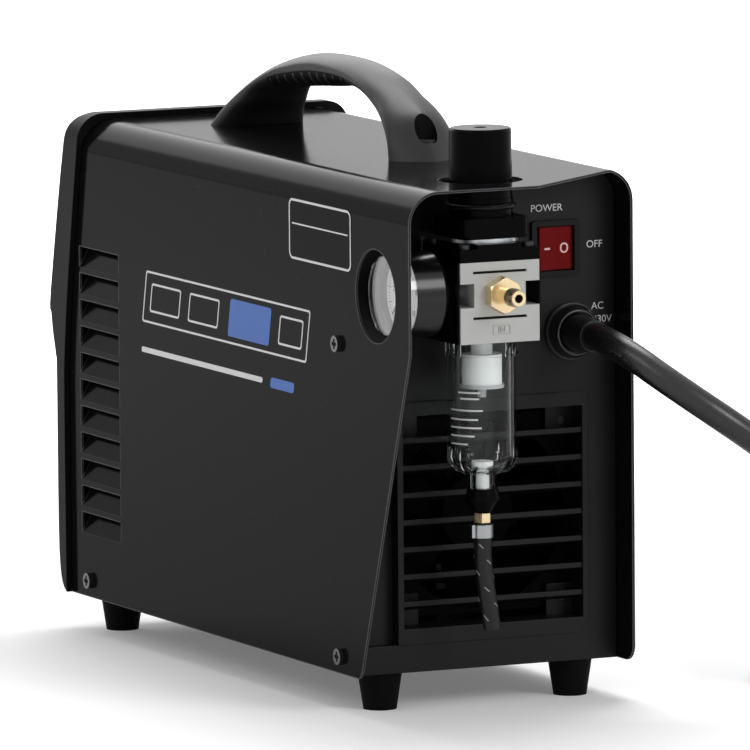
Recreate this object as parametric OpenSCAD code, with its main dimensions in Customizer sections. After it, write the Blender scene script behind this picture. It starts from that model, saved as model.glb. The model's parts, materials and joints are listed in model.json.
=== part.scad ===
// Portable inverter plasma cutter with a hooded rear end, an air filter regulator and a mains lead.
// Millimetres. +Y points to the rear, where the fan grille is, -Y to the front, +Z up.
// The origin is on the ground under the middle of the machine.

/* [Enclosure] */
// Width over the two sides of the sheet-metal cover
case_w = 137; // [131:1:145]
// Height of the cover's flat top above the ground
case_top = 247.5; // [244:0.5:256]
// Distance of the rear panel's outer face from the middle of the machine
panel_y = 140; // [134:1:150]
// Distance of the cover's front edge from the middle of the machine
cover_front = 181; // [176:1:190]
// Thickness of the folded steel sheet
sheet_t = 1.2; // [0.8:0.1:1.6]
// Outer radius of the cover's two top bends
bend_r = 15; // [12:0.5:18]
// Gap left between parts that slip into each other
fit_gap = 0.3; // [0.2:0.05:0.5]

/* [Hood] */
// How far the hood and the left side reach behind the rear panel
hood_l = 65; // [60:1:70]
// How far the right side reaches behind the rear panel
side_lip = 17; // [12:1:22]
// Distance from the middle plane at which the hood's rear edge turns forward
hood_turn = 2.5; // [0:0.5:6]
// Height at which the left side's rear edge starts to slope in
slope_top = 173; // [165:1:180]
// Reach of the left side behind the panel at its bottom corner
slope_foot = 10; // [8:1:14]
// Diameter of the hole that the regulator knob stands in
knob_hole_d = 39; // [37:0.5:42]
// Diameter of the gauge hole in the left side
gauge_hole_d = 43; // [42:0.5:46]

/* [Louvres] */
// Number of pressed louvres on a side
louvre_n = 11; // [8:1:12]
// Distance between louvres
louvre_pitch = 12.84; // [12:0.1:13.2]
// Length of a louvre
louvre_l = 46; // [38:1:50]
// Height of a louvre's window
louvre_h = 10; // [8:0.5:11]
// Depth that a louvre's blade is pressed in
louvre_in = 5.5; // [4:0.5:7]
// Height of the top louvre's upper edge above the ground
louvre_top = 186.4; // [184:0.5:190]
// Distance from the cover's front edge to the louvres
louvre_front = 14; // [12:1:18]

/* [Bezel] */
// How far the front bezel stands proud of the cover
bezel_proud = 3; // [2:0.25:4]
// Radius of the bezel's top corners
bezel_r = 12.5; // [10:0.5:16]
// Width of the bezel's rim round the front panel
rim_w = 8; // [6:0.5:10]
// Depth of the front panel behind the rim
panel_inset = 3; // [2:0.25:4]
// Depth of the bezel at its brow
brow_depth = 21; // [18:0.5:24]
// Height of the brow above the ground
brow_z = 162; // [156:1:166]
// Wall of the moulded plastic parts
wall = 2.5; // [2:0.1:3]

/* [Rear panel] */
// Width of the fan grille's opening
grille_w = 91.6; // [90:0.2:93]
// Height of the fan grille's opening
grille_h = 98.7; // [96:0.1:100]
// Height of the opening's bottom above the ground
grille_z = 37.8; // [36:0.2:42]
// Distance of the grille's middle to the right of the machine's middle plane
grille_off = 3.8; // [3:0.1:5]
// Number of slats across the opening
slat_n = 7; // [5:1:9]
// Height of a slat's front edge
slat_h = 2.4; // [2:0.1:3]
// Depth of a slat
slat_d = 12; // [9:0.5:14]
// Thickness of a slat behind its front lip
slat_t = 1.6; // [1.2:0.1:2]
// Depth of the side pocket beside the grille
pocket_d = 6; // [5:0.5:7]
// Width of the side pocket
pocket_w = 19; // [17:0.5:20]

/* [Feet] */
// Height of a rubber foot
foot_h = 17.5; // [15:0.5:22]
// Diameter of a foot at its top
foot_d = 20.8; // [19:0.1:23]
// Diameter of a foot at the ground
foot_base_d = 15.5; // [14:0.1:18]
// Distance between the feet across the machine
foot_span = 97.4; // [92:0.2:102]
// Distance of the rear feet in front of the rear panel
foot_rear = 12; // [11:0.5:16]
// Distance of the front feet behind the cover's front edge
foot_front = 16; // [14:0.5:22]

/* [Handle] */
// Distance of the handle's rear end in front of the rear panel
handle_rear = 50; // [42:1:60]
// Length of the handle
handle_l = 214; // [204:1:220]
// Height of the handle's arch above the cover
handle_h = 41; // [38:0.5:46]
// Width of the handle's feet
handle_foot_w = 47; // [43:0.5:51]
// Diameter of the recess over each handle screw
recess_d = 10.7; // [10:0.1:12]
// Distance of each handle screw from the handle's end
recess_in = 11; // [10:0.5:13]

/* [Mains switch] */
// Width of the switch's frame
switch_w = 24.4; // [23:0.1:26]
// Height of the switch's frame
switch_h = 26; // [24.5:0.1:28]
// Width of the rocker
rocker_w = 18.4; // [17:0.1:19]
// Height of the rocker
rocker_h = 20; // [18.5:0.1:21]
// Distance of the switch's middle to the right of the machine's middle plane
switch_off = 36.2; // [34:0.2:40]
// Height of the switch's middle above the ground
switch_z = 210.2; // [204:0.2:216]
// Angle of the rocker to each side of its middle position
rocker_angle = 7; // [5:1:9]

/* [Regulator] */
// Distance of the regulator's axis from the cover's left side
reg_in = 53.5; // [52:0.5:55]
// Distance of the regulator's axis behind the rear panel
reg_out = 29; // [27:0.5:31]
// Width and depth of the die-cast body
reg_w = 40; // [38:0.5:42]
// Height of the die-cast body
reg_h = 37.5; // [36:0.5:39]
// Height of the body's bottom above the ground
reg_z = 174.4; // [172:0.2:178]
// Height of the ports above the body's bottom
port_up = 22.3; // [20:0.1:24]
// Height of the bonnet's block
bonnet_h = 8; // [7:0.5:9]
// Height of the bonnet's neck above the block
neck_h = 15; // [14:0.5:17]
// Diameter of the bonnet's neck
neck_d = 30; // [28:0.5:32]
// Width of the square plastic nut on the neck
ring_nut_w = 34; // [32.5:0.5:36]
// Height of the nut
ring_nut_h = 9.5; // [8:0.5:10]
// Diameter of the knob at its top
knob_d = 28.6; // [27:0.1:31]
// Height of the knob
knob_h = 34; // [31:0.5:37]
// Lift of the knob that frees it for turning
knob_lift = 3; // [2:0.5:4]
// Diameter of the adjusting screw
screw_d = 8; // [6:0.5:10]
// Thickness of the steel bracket
bracket_t = 2; // [1.5:0.1:2.5]

/* [Gauge] */
// Diameter of the gauge's case
gauge_d = 40; // [38:0.5:41]
// Depth of the gauge's case
gauge_depth = 16; // [14:0.5:18]
// Depth of the gauge's clear cap
gauge_cap = 8; // [6:0.5:9]
// Gap between the gauge's cap and the cover's outer surface
gauge_back = 4.3; // [3.5:0.1:6]
// Radial clearance of a turning shaft in its hole
shaft_gap = 0.05; // [0.02:0.01:0.08]

/* [Air fittings] */
// Width across the flats of the inlet's hexagon
hex_af = 15; // [13:0.5:17]
// Diameter of the inlet's hose tail
tail_d = 7; // [6:0.5:8]
// Length of the inlet's hose tail
tail_l = 13.5; // [12:0.5:15]
// Diameter of the filter bowl
bowl_d = 31.7; // [30:0.1:33]
// Height of the filter bowl below the body
bowl_h = 61.5; // [56:0.5:66]
// Wall of the filter bowl
bowl_wall = 2.2; // [1.8:0.1:2.6]
// Diameter of the white filter element
filter_d = 18.5; // [16:0.5:20]
// Diameter of the drain knob's flare
drain_d = 16.5; // [15:0.5:18]
// Height of the drain knob
drain_h = 11.5; // [10:0.5:13]

/* [Fan] */
// Width of the square fan frame
fan_w = 92; // [88:0.5:92]
// Depth of the fan frame
fan_depth = 25; // [20:0.5:25]
// Gap between the blade tips and the frame's ring
tip_gap = 1; // [0.6:0.1:1.5]
// Number of fan blades
blade_n = 7; // [5:1:9]

/* [Front controls] */
// Diameter of the cutting-current knob
dial_d = 26; // [22:0.5:30]
// Height of the knob's middle along the sloping panel, above the brow
dial_up = 38; // [32:0.5:44]
// Diameter of the earth socket's flange
earth_d = 34; // [30:0.5:36]
// Diameter of the earth socket's bore
earth_bore = 9; // [8.5:0.1:9.5]
// Diameter of the torch connector's screwed nose
torch_d = 16; // [14:0.5:18]
// Height of the front connectors above the ground
front_z = 62; // [56:1:70]
// Distance of each main connector from the middle plane
front_x = 33; // [30:0.5:36]

/* [Leads] */
// Diameter of the rubber mains lead
lead_d = 13; // [12:0.1:13.2]
// Distance of the gland from the case's side
gland_in = 24.5; // [23:0.5:26]
// Height of the gland above the ground
gland_z = 171.5; // [170:0.5:173]
// Diameter of the gland's flange
gland_d = 26.6; // [25:0.1:28]
// Reach of the gland behind the panel
gland_l = 9.6; // [8.6:0.2:12]
// Mean diameter of the coiled lead's turns, measured on the lead's middle
coil_d = 130; // [128:1:134]
// Turns of the coiled lead over its four layers
coil_turns = 4.29; // [4.1:0.01:4.4]
// Diameter of the drain hose
hose_d = 8.2; // [7:0.1:8.2]

/* [Hidden] */
$fn = 48;

half_w = case_w / 2;
inner_half = half_w - sheet_t;
inner_top = case_top - sheet_t;
cover_rear = panel_y + hood_l;
front_y = -cover_front;
black = "#26272a";
steel_black = "#1f2023";
rubber = "#18181a";
silver = "#c9cbcc";
zinc = "#b4b7ba";
brass = "#c9a45c";
clear = [0.85, 0.88, 0.9, 0.35];

// ---- shared shapes ----

// Extrudes a shape drawn in Y and Z along X, from x0 over a length
module along_x(x0, len) {
    translate([x0, 0, 0]) rotate([90, 0, 90]) linear_extrude(len) children();
}

// Extrudes a shape drawn in X and Z along Y, from y0 over a length
module along_y(y0, len) {
    translate([0, y0 + len, 0]) rotate([90, 0, 0]) linear_extrude(len) children();
}

// A rod along X, Y or Z from a point
module rod_x(p, d, len) {
    translate(p) rotate([0, 90, 0]) cylinder(d = d, h = len);
}

module rod_y(p, d, len) {
    translate(p) rotate([-90, 0, 0]) cylinder(d = d, h = len);
}

module rod_z(p, d, len) {
    translate(p) cylinder(d = d, h = len);
}

// A rectangle with round corners
module round_rect(w, h, r) {
    translate([-w / 2 + r, -h / 2]) square([w - 2 * r, h]);
    translate([-w / 2, -h / 2 + r]) square([w, h - 2 * r]);
    for (sx = [-1, 1], sy = [-1, 1]) translate([sx * (w / 2 - r), sy * (h / 2 - r)]) circle(r);
}

// The case's cross section: square at the bottom, with round top corners
module case_section(half, z0, z1, r) {
    translate([-half, z0]) square([2 * half, z1 - z0 - r]);
    translate([-half + r, z0]) square([2 * (half - r), z1 - z0]);
    for (s = [-1, 1]) translate([s * (half - r), z1 - r]) circle(r);
}

// A pan-head screw along +X from the seat, with its thread going to -X
module side_screw(p, d, len) {
    head_d = 1.9 * d;
    head_h = 0.55 * d;
    rod_x([p[0] - len, p[1], p[2]], d, len);
    difference() {
        rod_x(p, head_d, head_h);
        for (a = [0, 90])
            translate([p[0] + head_h, p[1], p[2]]) rotate([a, 0, 0])
                cube([head_h, 0.22 * head_d, 0.62 * head_d], center = true);
    }
}

// A polyhedron tube through a list of points, with flat ends and a given number of sides
function unit(v) = v / norm(v);
function tangent(p, i) = unit(p[min(i + 1, len(p) - 1)] - p[max(i - 1, 0)]);
function side_of(t) = unit(cross(t, abs(t[2]) > 0.9 ? [0, 1, 0] : [0, 0, 1]));
function ring_points(c, t, r, n) =
    let (u = side_of(t), v = cross(u, t)) [for (k = [0:n - 1]) c + r * (cos(360 * k / n) * u + sin(360 * k / n) * v)];

module tube(path, d, sides, first = undef, last = undef) {
    count = len(path);
    points = [
        for (i = [0:count - 1])
            let (t = i == 0 && !is_undef(first) ? first
                : i == count - 1 && !is_undef(last) ? last : tangent(path, i))
                each ring_points(path[i], t, d / 2, sides)
    ];
    walls = [
        for (i = [0:count - 2], k = [0:sides - 1])
            let (a = i * sides + k, b = i * sides + (k + 1) % sides)
                each [[a, b, b + sides], [a, b + sides, a + sides]]
    ];
    start = [for (k = [sides - 2:-1:1]) [0, k + 1, k]];
    end = [for (k = [1:sides - 2]) [(count - 1) * sides, (count - 1) * sides + k, (count - 1) * sides + k + 1]];
    polyhedron(points, concat(walls, start, end));
}

// ---- sheet-metal case ----

cover_screw_d = 4;
screw_low = foot_h + 8;
screw_high = 170.7;
screw_rear = panel_y - 11.8;
screw_front = front_y + 23;
cover_screw_spots = [[screw_front, screw_low], [screw_rear, screw_low], [screw_rear, screw_high]];
reg_x = half_w - reg_in;
reg_y = panel_y + reg_out;
port_z = reg_z + port_up;
gauge_face_x = half_w - gauge_back;
louvre_y = front_y + louvre_front;
handle_end = panel_y - handle_rear;
handle_start = handle_end - handle_l;
handle_holes = [handle_start + recess_in, handle_end - recess_in];
handle_screw_d = 5;
corner_r = 8;

// One pressed louvre: a blade that leaves the side at its lower edge and leans in towards its top
module louvre_blade(side, z) {
    reach = louvre_in;
    x = side * half_w;
    translate([x, louvre_y, z])
        rotate([-90, 0, 0]) mirror([0, 1, 0])
            linear_extrude(louvre_l)
                polygon([[0, 0], [-side * sheet_t, -0.4], [-side * (reach + sheet_t), louvre_h - 0.4],
                    [-side * reach, louvre_h]]);
}

module cover() color(black) {
    difference() {
        along_y(front_y, cover_rear - front_y) difference() {
            case_section(half_w, foot_h, case_top, bend_r);
            case_section(inner_half, foot_h - 1, inner_top, bend_r - sheet_t);
        }
        // the left side's rear edge slopes in below the kink
        along_x(inner_half - 1, sheet_t + 2)
            polygon([[cover_rear + 1, slope_top], [cover_rear, slope_top],
                [panel_y + slope_foot, foot_h], [panel_y + slope_foot, foot_h - 1], [cover_rear + 1, foot_h - 1]]);
        // round lower corners of both sides
        along_x(-half_w - 1, sheet_t + 3) difference() {
            translate([panel_y + side_lip - corner_r, foot_h - 1]) square([corner_r + 1, corner_r + 1]);
            translate([panel_y + side_lip - corner_r, foot_h + corner_r]) circle(corner_r);
        }
        along_x(inner_half - 1, sheet_t + 2) difference() {
            translate([panel_y + slope_foot - 3, foot_h - 1]) square([6, 4]);
            translate([panel_y + slope_foot - 3, foot_h + 3]) circle(3.1);
        }
        // the hood's rear edge turns forward, and the right side is short
        translate([0, 0, foot_h - 1]) linear_extrude(case_top)
            polygon([[hood_turn, cover_rear + 1], [hood_turn, cover_rear], [-half_w + 9.6, panel_y + side_lip],
                [-half_w - 1, panel_y + side_lip], [-half_w - 1, cover_rear + 1]]);
        rod_z([reg_x, reg_y, inner_top - 1], knob_hole_d, sheet_t + 2);
        rod_x([inner_half - 1, reg_y, port_z], gauge_hole_d, sheet_t + 2);
        for (y = handle_holes) rod_z([0, y, inner_top - 1], handle_screw_d + 2 * fit_gap, sheet_t + 2);
        for (s = [-1, 1], p = cover_screw_spots)
            rod_x([s * half_w - 3, p[0], p[1]], cover_screw_d + 2 * fit_gap, 6);
        for (s = [-1, 1], i = [0:louvre_n - 1])
            translate([s * half_w - 3, louvre_y, louvre_top - i * louvre_pitch - louvre_h])
                cube([6, louvre_l, louvre_h]);
    }
    for (s = [-1, 1], i = [0:louvre_n - 1]) louvre_blade(s, louvre_top - i * louvre_pitch - louvre_h);
}

tray_half = inner_half - fit_gap;
tray_flange = 16;
tray_y0 = front_y + fit_gap;
tray_y1 = panel_y - wall - fit_gap;
foot_ys = [front_y + foot_front, panel_y - foot_rear];
foot_screw_d = 4;

module base_tray() color(steel_black) difference() {
    along_y(tray_y0, tray_y1 - tray_y0) difference() {
        translate([-tray_half, foot_h]) square([2 * tray_half, tray_flange]);
        translate([-tray_half + sheet_t, foot_h + sheet_t]) square([2 * (tray_half - sheet_t), tray_flange]);
    }
    for (s = [-1, 1]) {
        for (y = foot_ys) rod_z([s * foot_span / 2, y, foot_h - 1], foot_screw_d + 2 * fit_gap, sheet_t + 2);
        for (y = [screw_front, screw_rear])
            rod_x([s * tray_half - 3, y, screw_low], cover_screw_d + 2 * fit_gap, 6);
    }
    // room for the back of the rear panel's side pocket
    translate([pocket_x, panel_y - pocket_d - wall - fit_gap, pocket_z0 - wall - fit_gap])
        cube([2 * pocket_w, 2 * pocket_d + wall, tray_flange]);
    // cooling slots across the floor of the tray
    for (i = [0:7]) translate([0, -100 + i * 12, foot_h - 1]) linear_extrude(sheet_t + 2) round_rect(50, 4, 1.9);
}

module feet() color(rubber) for (s = [-1, 1], y = foot_ys) difference() {
    translate([s * foot_span / 2, y, 0]) cylinder(d1 = foot_base_d, d2 = foot_d, h = foot_h);
    rod_z([s * foot_span / 2, y, -1], 8.6, 8);
    rod_z([s * foot_span / 2, y, 0], foot_screw_d + 2 * fit_gap, foot_h + 1);
}

module foot_screws() color(zinc) for (s = [-1, 1], y = foot_ys) difference() {
    union() {
        rod_z([s * foot_span / 2, y, 4.6], 7.8, 2.4);
        rod_z([s * foot_span / 2, y, 6], foot_screw_d, foot_h + sheet_t);
        rod_z([s * foot_span / 2, y, foot_h + sheet_t], 7.5, 3);
    }
    translate([s * foot_span / 2, y, 4.9]) cube([4.6, 1, 1.2], center = true);
}

module cover_screws() color(zinc) for (s = [0, 1]) mirror([s, 0, 0])
    for (p = cover_screw_spots) side_screw([half_w, p[0], p[1]], cover_screw_d, 9);

// ---- front bezel and panel ----

bezel_half = half_w + bezel_proud;
bezel_top = case_top + bezel_proud + 0.2;
brow_y = front_y + 7 - brow_depth;
skirt_y = brow_y + 6.4;
crown_y = brow_y + 17.5;
// The bezel's front edge from the bottom to the top, as points of Y and Z
front_edge = [
    [skirt_y + 9, foot_h], [skirt_y + 3, foot_h + 7], [skirt_y + 0.4, foot_h + 30],
    [skirt_y, brow_z - 40], [skirt_y - 1, brow_z - 30], [brow_y + 2.4, brow_z - 20],
    [brow_y + 0.4, brow_z - 10], [brow_y, brow_z], [crown_y, case_top - 11], [crown_y + 10, bezel_top]
];
rear_edge = [
    [front_y + 22, bezel_top], [front_y + 18.6, case_top - 14.5], [front_y + 10.3, brow_z + 27],
    [front_y + 6, brow_z + 2], [front_y + 2.2, brow_z - 27], [front_y + 1, brow_z - 52], [front_y + 1.4, foot_h]
];

// A smooth curve through points, with a few steps between each two
function curve(p, steps = 4) = [
    for (i = [0:len(p) - 2], k = [0:steps - (i < len(p) - 2 ? 1 : 0)])
        let (a = p[max(0, i - 1)], b = p[i], c = p[i + 1], d = p[min(len(p) - 1, i + 2)], u = k / steps)
            0.5 * (2 * b + (c - a) * u + (2 * a - 5 * b + 4 * c - d) * u * u + (3 * b - a - 3 * c + d) * u * u * u)
];
front_curve = curve(front_edge);
rear_curve = curve(rear_edge);

function moved(points, dy) = [for (p = points) [p[0] + dy, p[1]]];
function reversed(points) = [for (i = [len(points) - 1:-1:0]) points[i]];

module bezel() color(black) difference() {
    intersection() {
        along_x(-bezel_half, 2 * bezel_half) polygon(concat(front_curve, rear_curve));
        along_y(brow_y - 1, 60) case_section(bezel_half, foot_h, bezel_top, bezel_r);
    }
    // the cover's front edge sits in a step round the back
    along_y(front_y - 0.8, 60) case_section(half_w + fit_gap, foot_h - 1, case_top + fit_gap, bend_r);
    along_y(brow_y - 1, 60) case_section(half_w - rim_w, foot_h + rim_w, case_top - rim_w, bend_r - 3);
}

panel_half = half_w - rim_w - fit_gap;
panel_t = 2.5;

module front_panel() color(steel_black) difference() {
    intersection() {
        along_x(-panel_half, 2 * panel_half)
            polygon(concat(moved(front_curve, panel_inset), reversed(moved(front_curve, panel_inset + panel_t))));
        along_y(brow_y, 60)
            case_section(panel_half, foot_h + rim_w + fit_gap, case_top - rim_w - fit_gap, bend_r - 3 - fit_gap);
    }
    rod_y([-front_x, brow_y, front_z], torch_hole_d, 40);
    rod_y([front_x, brow_y, front_z], earth_hole_d, 40);
    rod_y([0, brow_y, front_z + pilot_up], pilot_d + 2 * fit_gap, 40);
    on_slope(dial_up) translate([0, 0, -8]) cylinder(d = dial_shaft_d + 2, h = 16);
    for (i = [-1:1]) on_slope(light_up) translate([i * 16, 0, -8]) cylinder(d = light_d + 0.2, h = 16);
}

// Moves to a point of the sloping panel, with +Z out of its face
slope_angle = atan2(crown_y - brow_y, case_top - 11 - brow_z);
module on_slope(up) {
    translate([0, brow_y + panel_inset + up * sin(slope_angle), brow_z + up * cos(slope_angle)])
        rotate([90 - slope_angle, 0, 0]) children();
}

// ---- rear panel ----

rear_half = inner_half - fit_gap;
rear_top = inner_top - fit_gap;
rear_r = bend_r - sheet_t - fit_gap;
rear_rim = 20;
grille_x = -grille_off;
pocket_x = rear_half - 3 - pocket_w;
pocket_z0 = foot_h + 13;
pocket_z1 = 158;
frame_m = 3;

fan_screw_d = 4;
slat_lip = 2;
slat_drop = 4;
tunnel_t = 2;
gusset_w = 13;
gusset_t = 3;
// How far the fan screws' ends stay inside the gussets
fan_screw_short = 0.6;

// An angled slat, falling towards the inside
module slat(z) {
    along_x(grille_x - grille_w / 2 - 0.5, grille_w + 1)
        polygon([[panel_y, z], [panel_y, z + slat_h], [panel_y - slat_lip, z + slat_h],
            [panel_y - slat_d, z + slat_h - slat_drop], [panel_y - slat_d, z + slat_h - slat_drop - slat_t],
            [panel_y - slat_lip, z + slat_h - slat_t - 0.4], [panel_y - slat_lip, z]]);
}

module rear_panel() color(steel_black) {
    pitch = (grille_h + slat_h) / (slat_n + 1);
    difference() {
        union() {
            along_y(panel_y - wall, wall) case_section(rear_half, foot_h, rear_top, rear_r);
            // side and top rims that the cover is screwed to
            along_y(panel_y - rear_rim, rear_rim) difference() {
                case_section(rear_half, foot_h + tray_flange + 4, rear_top, rear_r);
                case_section(rear_half - wall, foot_h, rear_top - wall, rear_r - wall);
            }
            // back of the pocket
            translate([pocket_x - wall, panel_y - pocket_d - wall, pocket_z0 - wall])
                cube([rear_half - pocket_x, pocket_d + wall, pocket_z1 - pocket_z0 + 2 * wall]);
            // tunnel behind the grille's opening, which the fan stands against
            translate([grille_x - grille_w / 2 - tunnel_t, fan_y1, grille_z - tunnel_t])
                cube([grille_w + 2 * tunnel_t, slat_d, grille_h + 2 * tunnel_t]);
            // raised frame round the grille
            along_y(panel_y - 1, 2) difference() {
                polygon([
                    [grille_x - grille_w / 2 - frame_m, grille_z + grille_h + 6.5],
                    [pocket_x, grille_z + grille_h + 6.5], [pocket_x, pocket_z0 + 7],
                    [pocket_x + 3, pocket_z0], [grille_x - grille_w / 2 + 3, pocket_z0],
                    [grille_x - grille_w / 2 - frame_m, pocket_z0 + 6]
                ]);
            }
        }
        translate([pocket_x, panel_y - pocket_d, pocket_z0])
            cube([rear_half - pocket_x - wall, pocket_d + 3, pocket_z1 - pocket_z0]);
        translate([grille_x - grille_w / 2, panel_y - 30, grille_z]) cube([grille_w, 40, grille_h]);
        translate([-switch_off, 0, switch_z])
            along_y(panel_y - wall - 1, wall + 3)
                square([switch_w - 2.4 + 2 * fit_gap, switch_h - 2.4 + 2 * fit_gap], center = true);
        rod_y([gland_x, panel_y - wall - 1, gland_z], gland_thread_d + 2 * fit_gap, wall + 3);
        rod_y([reg_x, panel_y - wall - 1, port_z], outlet_d + 2 * fit_gap, wall + 3);
        for (s = [-1, 1])
            rod_y([reg_x + s * bracket_hole / 2, panel_y - wall - 1, bracket_screw_z], 4 + 2 * fit_gap, wall + 3);
        for (s = [-1, 1]) rod_x([s * rear_half - 4, screw_rear, screw_high], cover_screw_d + 2 * fit_gap, 8);
    }
    for (i = [1:slat_n]) slat(grille_z + i * pitch - slat_h);
    // gussets across the tunnel's corners, that the fan is screwed to
    for (sx = [-1, 1], sz = [-1, 1]) difference() {
        translate([grille_x + sx * (grille_w - gusset_w) / 2, fan_y1, grille_z + grille_h / 2])
            translate([-gusset_w / 2, 0, sz > 0 ? fan_pitch / 2 - gusset_w / 2 : -grille_h / 2])
                cube([gusset_w, gusset_t, (grille_h - fan_pitch) / 2 + gusset_w / 2]);
        rod_y([grille_x + sx * fan_pitch / 2, fan_y1 - 1, fan_z + sz * fan_pitch / 2], fan_screw_d + 2 * shaft_gap, gusset_t + 2);
    }
}

// ---- handle ----

handle_mid = (handle_start + handle_end) / 2;
arch_n = 32;
ring_n = 20;
rib_n = 11;
rib_d = 1.8;
rib_from = 0.17;
rib_to = 0.42;

// The arch's stations from the front foot to the rear one: the crown's, the edge's and the underside's
// places along the machine and above the cover, as shares of the half length and of the height,
// then the half width as a share, and how full the crown is
stations = [
    [-1.00, 0.00, -0.89, 0.00, -0.765, 0.00, 1.00, 0.9],
    [-0.935, 0.195, -0.835, 0.17, -0.70, 0.18, 0.89, 0.9],
    [-0.84, 0.40, -0.765, 0.31, -0.625, 0.31, 0.80, 0.95],
    [-0.70, 0.60, -0.61, 0.54, -0.57, 0.44, 0.68, 1.0],
    [-0.54, 0.765, -0.435, 0.715, -0.46, 0.52, 0.60, 1.1],
    [-0.365, 0.89, -0.285, 0.80, -0.29, 0.585, 0.56, 1.15],
    [-0.17, 0.975, -0.095, 0.87, -0.095, 0.635, 0.54, 1.2],
    [0.02, 1.00, 0.075, 0.885, 0.075, 0.67, 0.53, 1.2],
    [0.235, 0.985, 0.285, 0.85, 0.25, 0.71, 0.53, 1.2],
    [0.46, 0.89, 0.49, 0.75, 0.41, 0.68, 0.54, 1.15],
    [0.635, 0.755, 0.635, 0.60, 0.535, 0.59, 0.56, 1.1],
    [0.775, 0.61, 0.74, 0.485, 0.63, 0.49, 0.62, 1.0],
    [0.87, 0.47, 0.81, 0.34, 0.72, 0.35, 0.68, 0.9],
    [0.94, 0.23, 0.85, 0.20, 0.785, 0.17, 0.72, 0.85],
    [1.00, 0.00, 0.875, 0.00, 0.815, 0.00, 0.75, 0.85]
];

function smooth(a, b, x) = let (k = max(0, min(1, (x - a) / (b - a)))) k * k * (3 - 2 * k);
// A curve through the stations, from 0 to 1
function along(t) =
    let (
        last = len(stations) - 1, f = t * last, i = min(last - 1, floor(f)), u = f - i,
        a = stations[max(0, i - 1)], b = stations[i], c = stations[i + 1], d = stations[min(last, i + 2)]
    )
    0.5 * (2 * b + (c - a) * u + (2 * a - 5 * b + 4 * c - d) * u * u + (3 * b - a - 3 * c + d) * u * u * u);
// One ring of the handle: crowned on top, with an edge to each side and a boxy underside
function handle_ring(t) =
    let (
        g = along(t), scale = [handle_l / 2, handle_h],
        crown = [g[0] * scale[0], g[1] * scale[1]], edge = [g[2] * scale[0], g[3] * scale[1]],
        under = [g[4] * scale[0], g[5] * scale[1]], half = g[6] * handle_foot_w / 2
    ) [
        for (k = [0:ring_n - 1])
            let (
                a = 360 * k / ring_n, c = cos(a), v = sin(a),
                p = v < 0 ? edge + (under - edge) * pow(-v, 0.7) : edge + (crown - edge) * pow(v, 1.6 / g[7] / 1.2),
                x = sign(c) * pow(abs(c), v < 0 ? 0.45 : 1.6 / g[7] / 1.2)
            )
            [x * half, handle_mid + p[0], case_top + max(0, p[1])]
    ];

module handle() color(black) difference() {
    rings = [for (i = [0:arch_n]) handle_ring(i / arch_n)];
    points = [for (r = rings) each r];
    walls = [
        for (i = [0:arch_n - 1], k = [0:ring_n - 1])
            let (a = i * ring_n + k, b = i * ring_n + (k + 1) % ring_n)
                each [[a, b, b + ring_n], [a, b + ring_n, a + ring_n]]
    ];
    start = [for (k = [1:ring_n - 2]) [0, k + 1, k]];
    end = [for (k = [1:ring_n - 2]) [arch_n * ring_n, arch_n * ring_n + k, arch_n * ring_n + k + 1]];
    union() {
        polyhedron(points, concat(walls, start, end));
        // grip ribs across the underside of the front half
        for (i = [0:rib_n - 1])
            let (g = along(rib_from + (rib_to - rib_from) * i / (rib_n - 1)), half = g[6] * handle_foot_w / 2)
                rod_x([-half / 2, handle_mid + g[4] * handle_l / 2, case_top + g[5] * handle_h], rib_d, half);
    }
    for (y = handle_holes) {
        rod_z([0, y, case_top + 6], recess_d, handle_h);
        rod_z([0, y, case_top - 1], handle_screw_d + 2 * fit_gap, 10);
    }
}

module handle_screws() color(zinc) for (y = handle_holes) difference() {
    union() {
        rod_z([0, y, case_top + 6], 1.8 * handle_screw_d, 3.2);
        rod_z([0, y, inner_top - 8], handle_screw_d, case_top + 8 - inner_top + 8);
    }
    for (a = [0, 90]) translate([0, y, case_top + 9]) rotate([0, 0, a]) cube([5.6, 1.1, 1.6], center = true);
}

module handle_nuts() color(zinc) for (y = handle_holes) difference() {
    union() {
        translate([0, y, inner_top - 1 - 5]) cylinder(d = 9.2, h = 5, $fn = 6);
        rod_z([0, y, inner_top - 1], 14, 1);
    }
    rod_z([0, y, inner_top - 8], handle_screw_d, 10);
}

// ---- mains switch ----

pivot_y = panel_y - 3;
rocker_gap = 0.4;

module switch_body() color(rubber) translate([-switch_off, 0, switch_z]) difference() {
    union() {
        along_y(panel_y, 2) round_rect(switch_w, switch_h, 1.5);
        along_y(panel_y - 22, 22) square([switch_w - 2.4, switch_h - 2.4], center = true);
        for (s = [-1, 1], h = [-1, 1])
            translate([s * 5 - 2.4, panel_y - 30, h * 5 - 0.4]) cube([4.8, 9, 0.8]);
    }
    along_y(panel_y - 15, 20) square([rocker_w + 2 * rocker_gap, rocker_h + 2 * rocker_gap], center = true);
    rod_z([0, pivot_y, -switch_h / 2 + 0.8], rocker_pin_d + 2 * shaft_gap, switch_h - 1.6);
}

rocker_pin_d = 3;

// The rocker turns about a vertical pin and rests with its right half pressed
module rocker() color("#8c1a1c") translate([-switch_off, 0, switch_z]) {
    translate([0, pivot_y, 0]) rotate([0, 0, rocker_angle]) {
        translate([0, 0, -rocker_h / 2]) linear_extrude(rocker_h) difference() {
            polygon([[-rocker_w / 2, 1], [-rocker_w / 2 + 0.3, 4], [0, 3.4], [rocker_w / 2 - 0.3, 4],
                [rocker_w / 2, 1], [4, -4], [-4, -4]]);
        }
        rod_z([0, 0, -rocker_h / 2 - 1.2], rocker_pin_d, rocker_h + 2.4);
    }
}

// ---- air filter regulator ----

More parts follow.
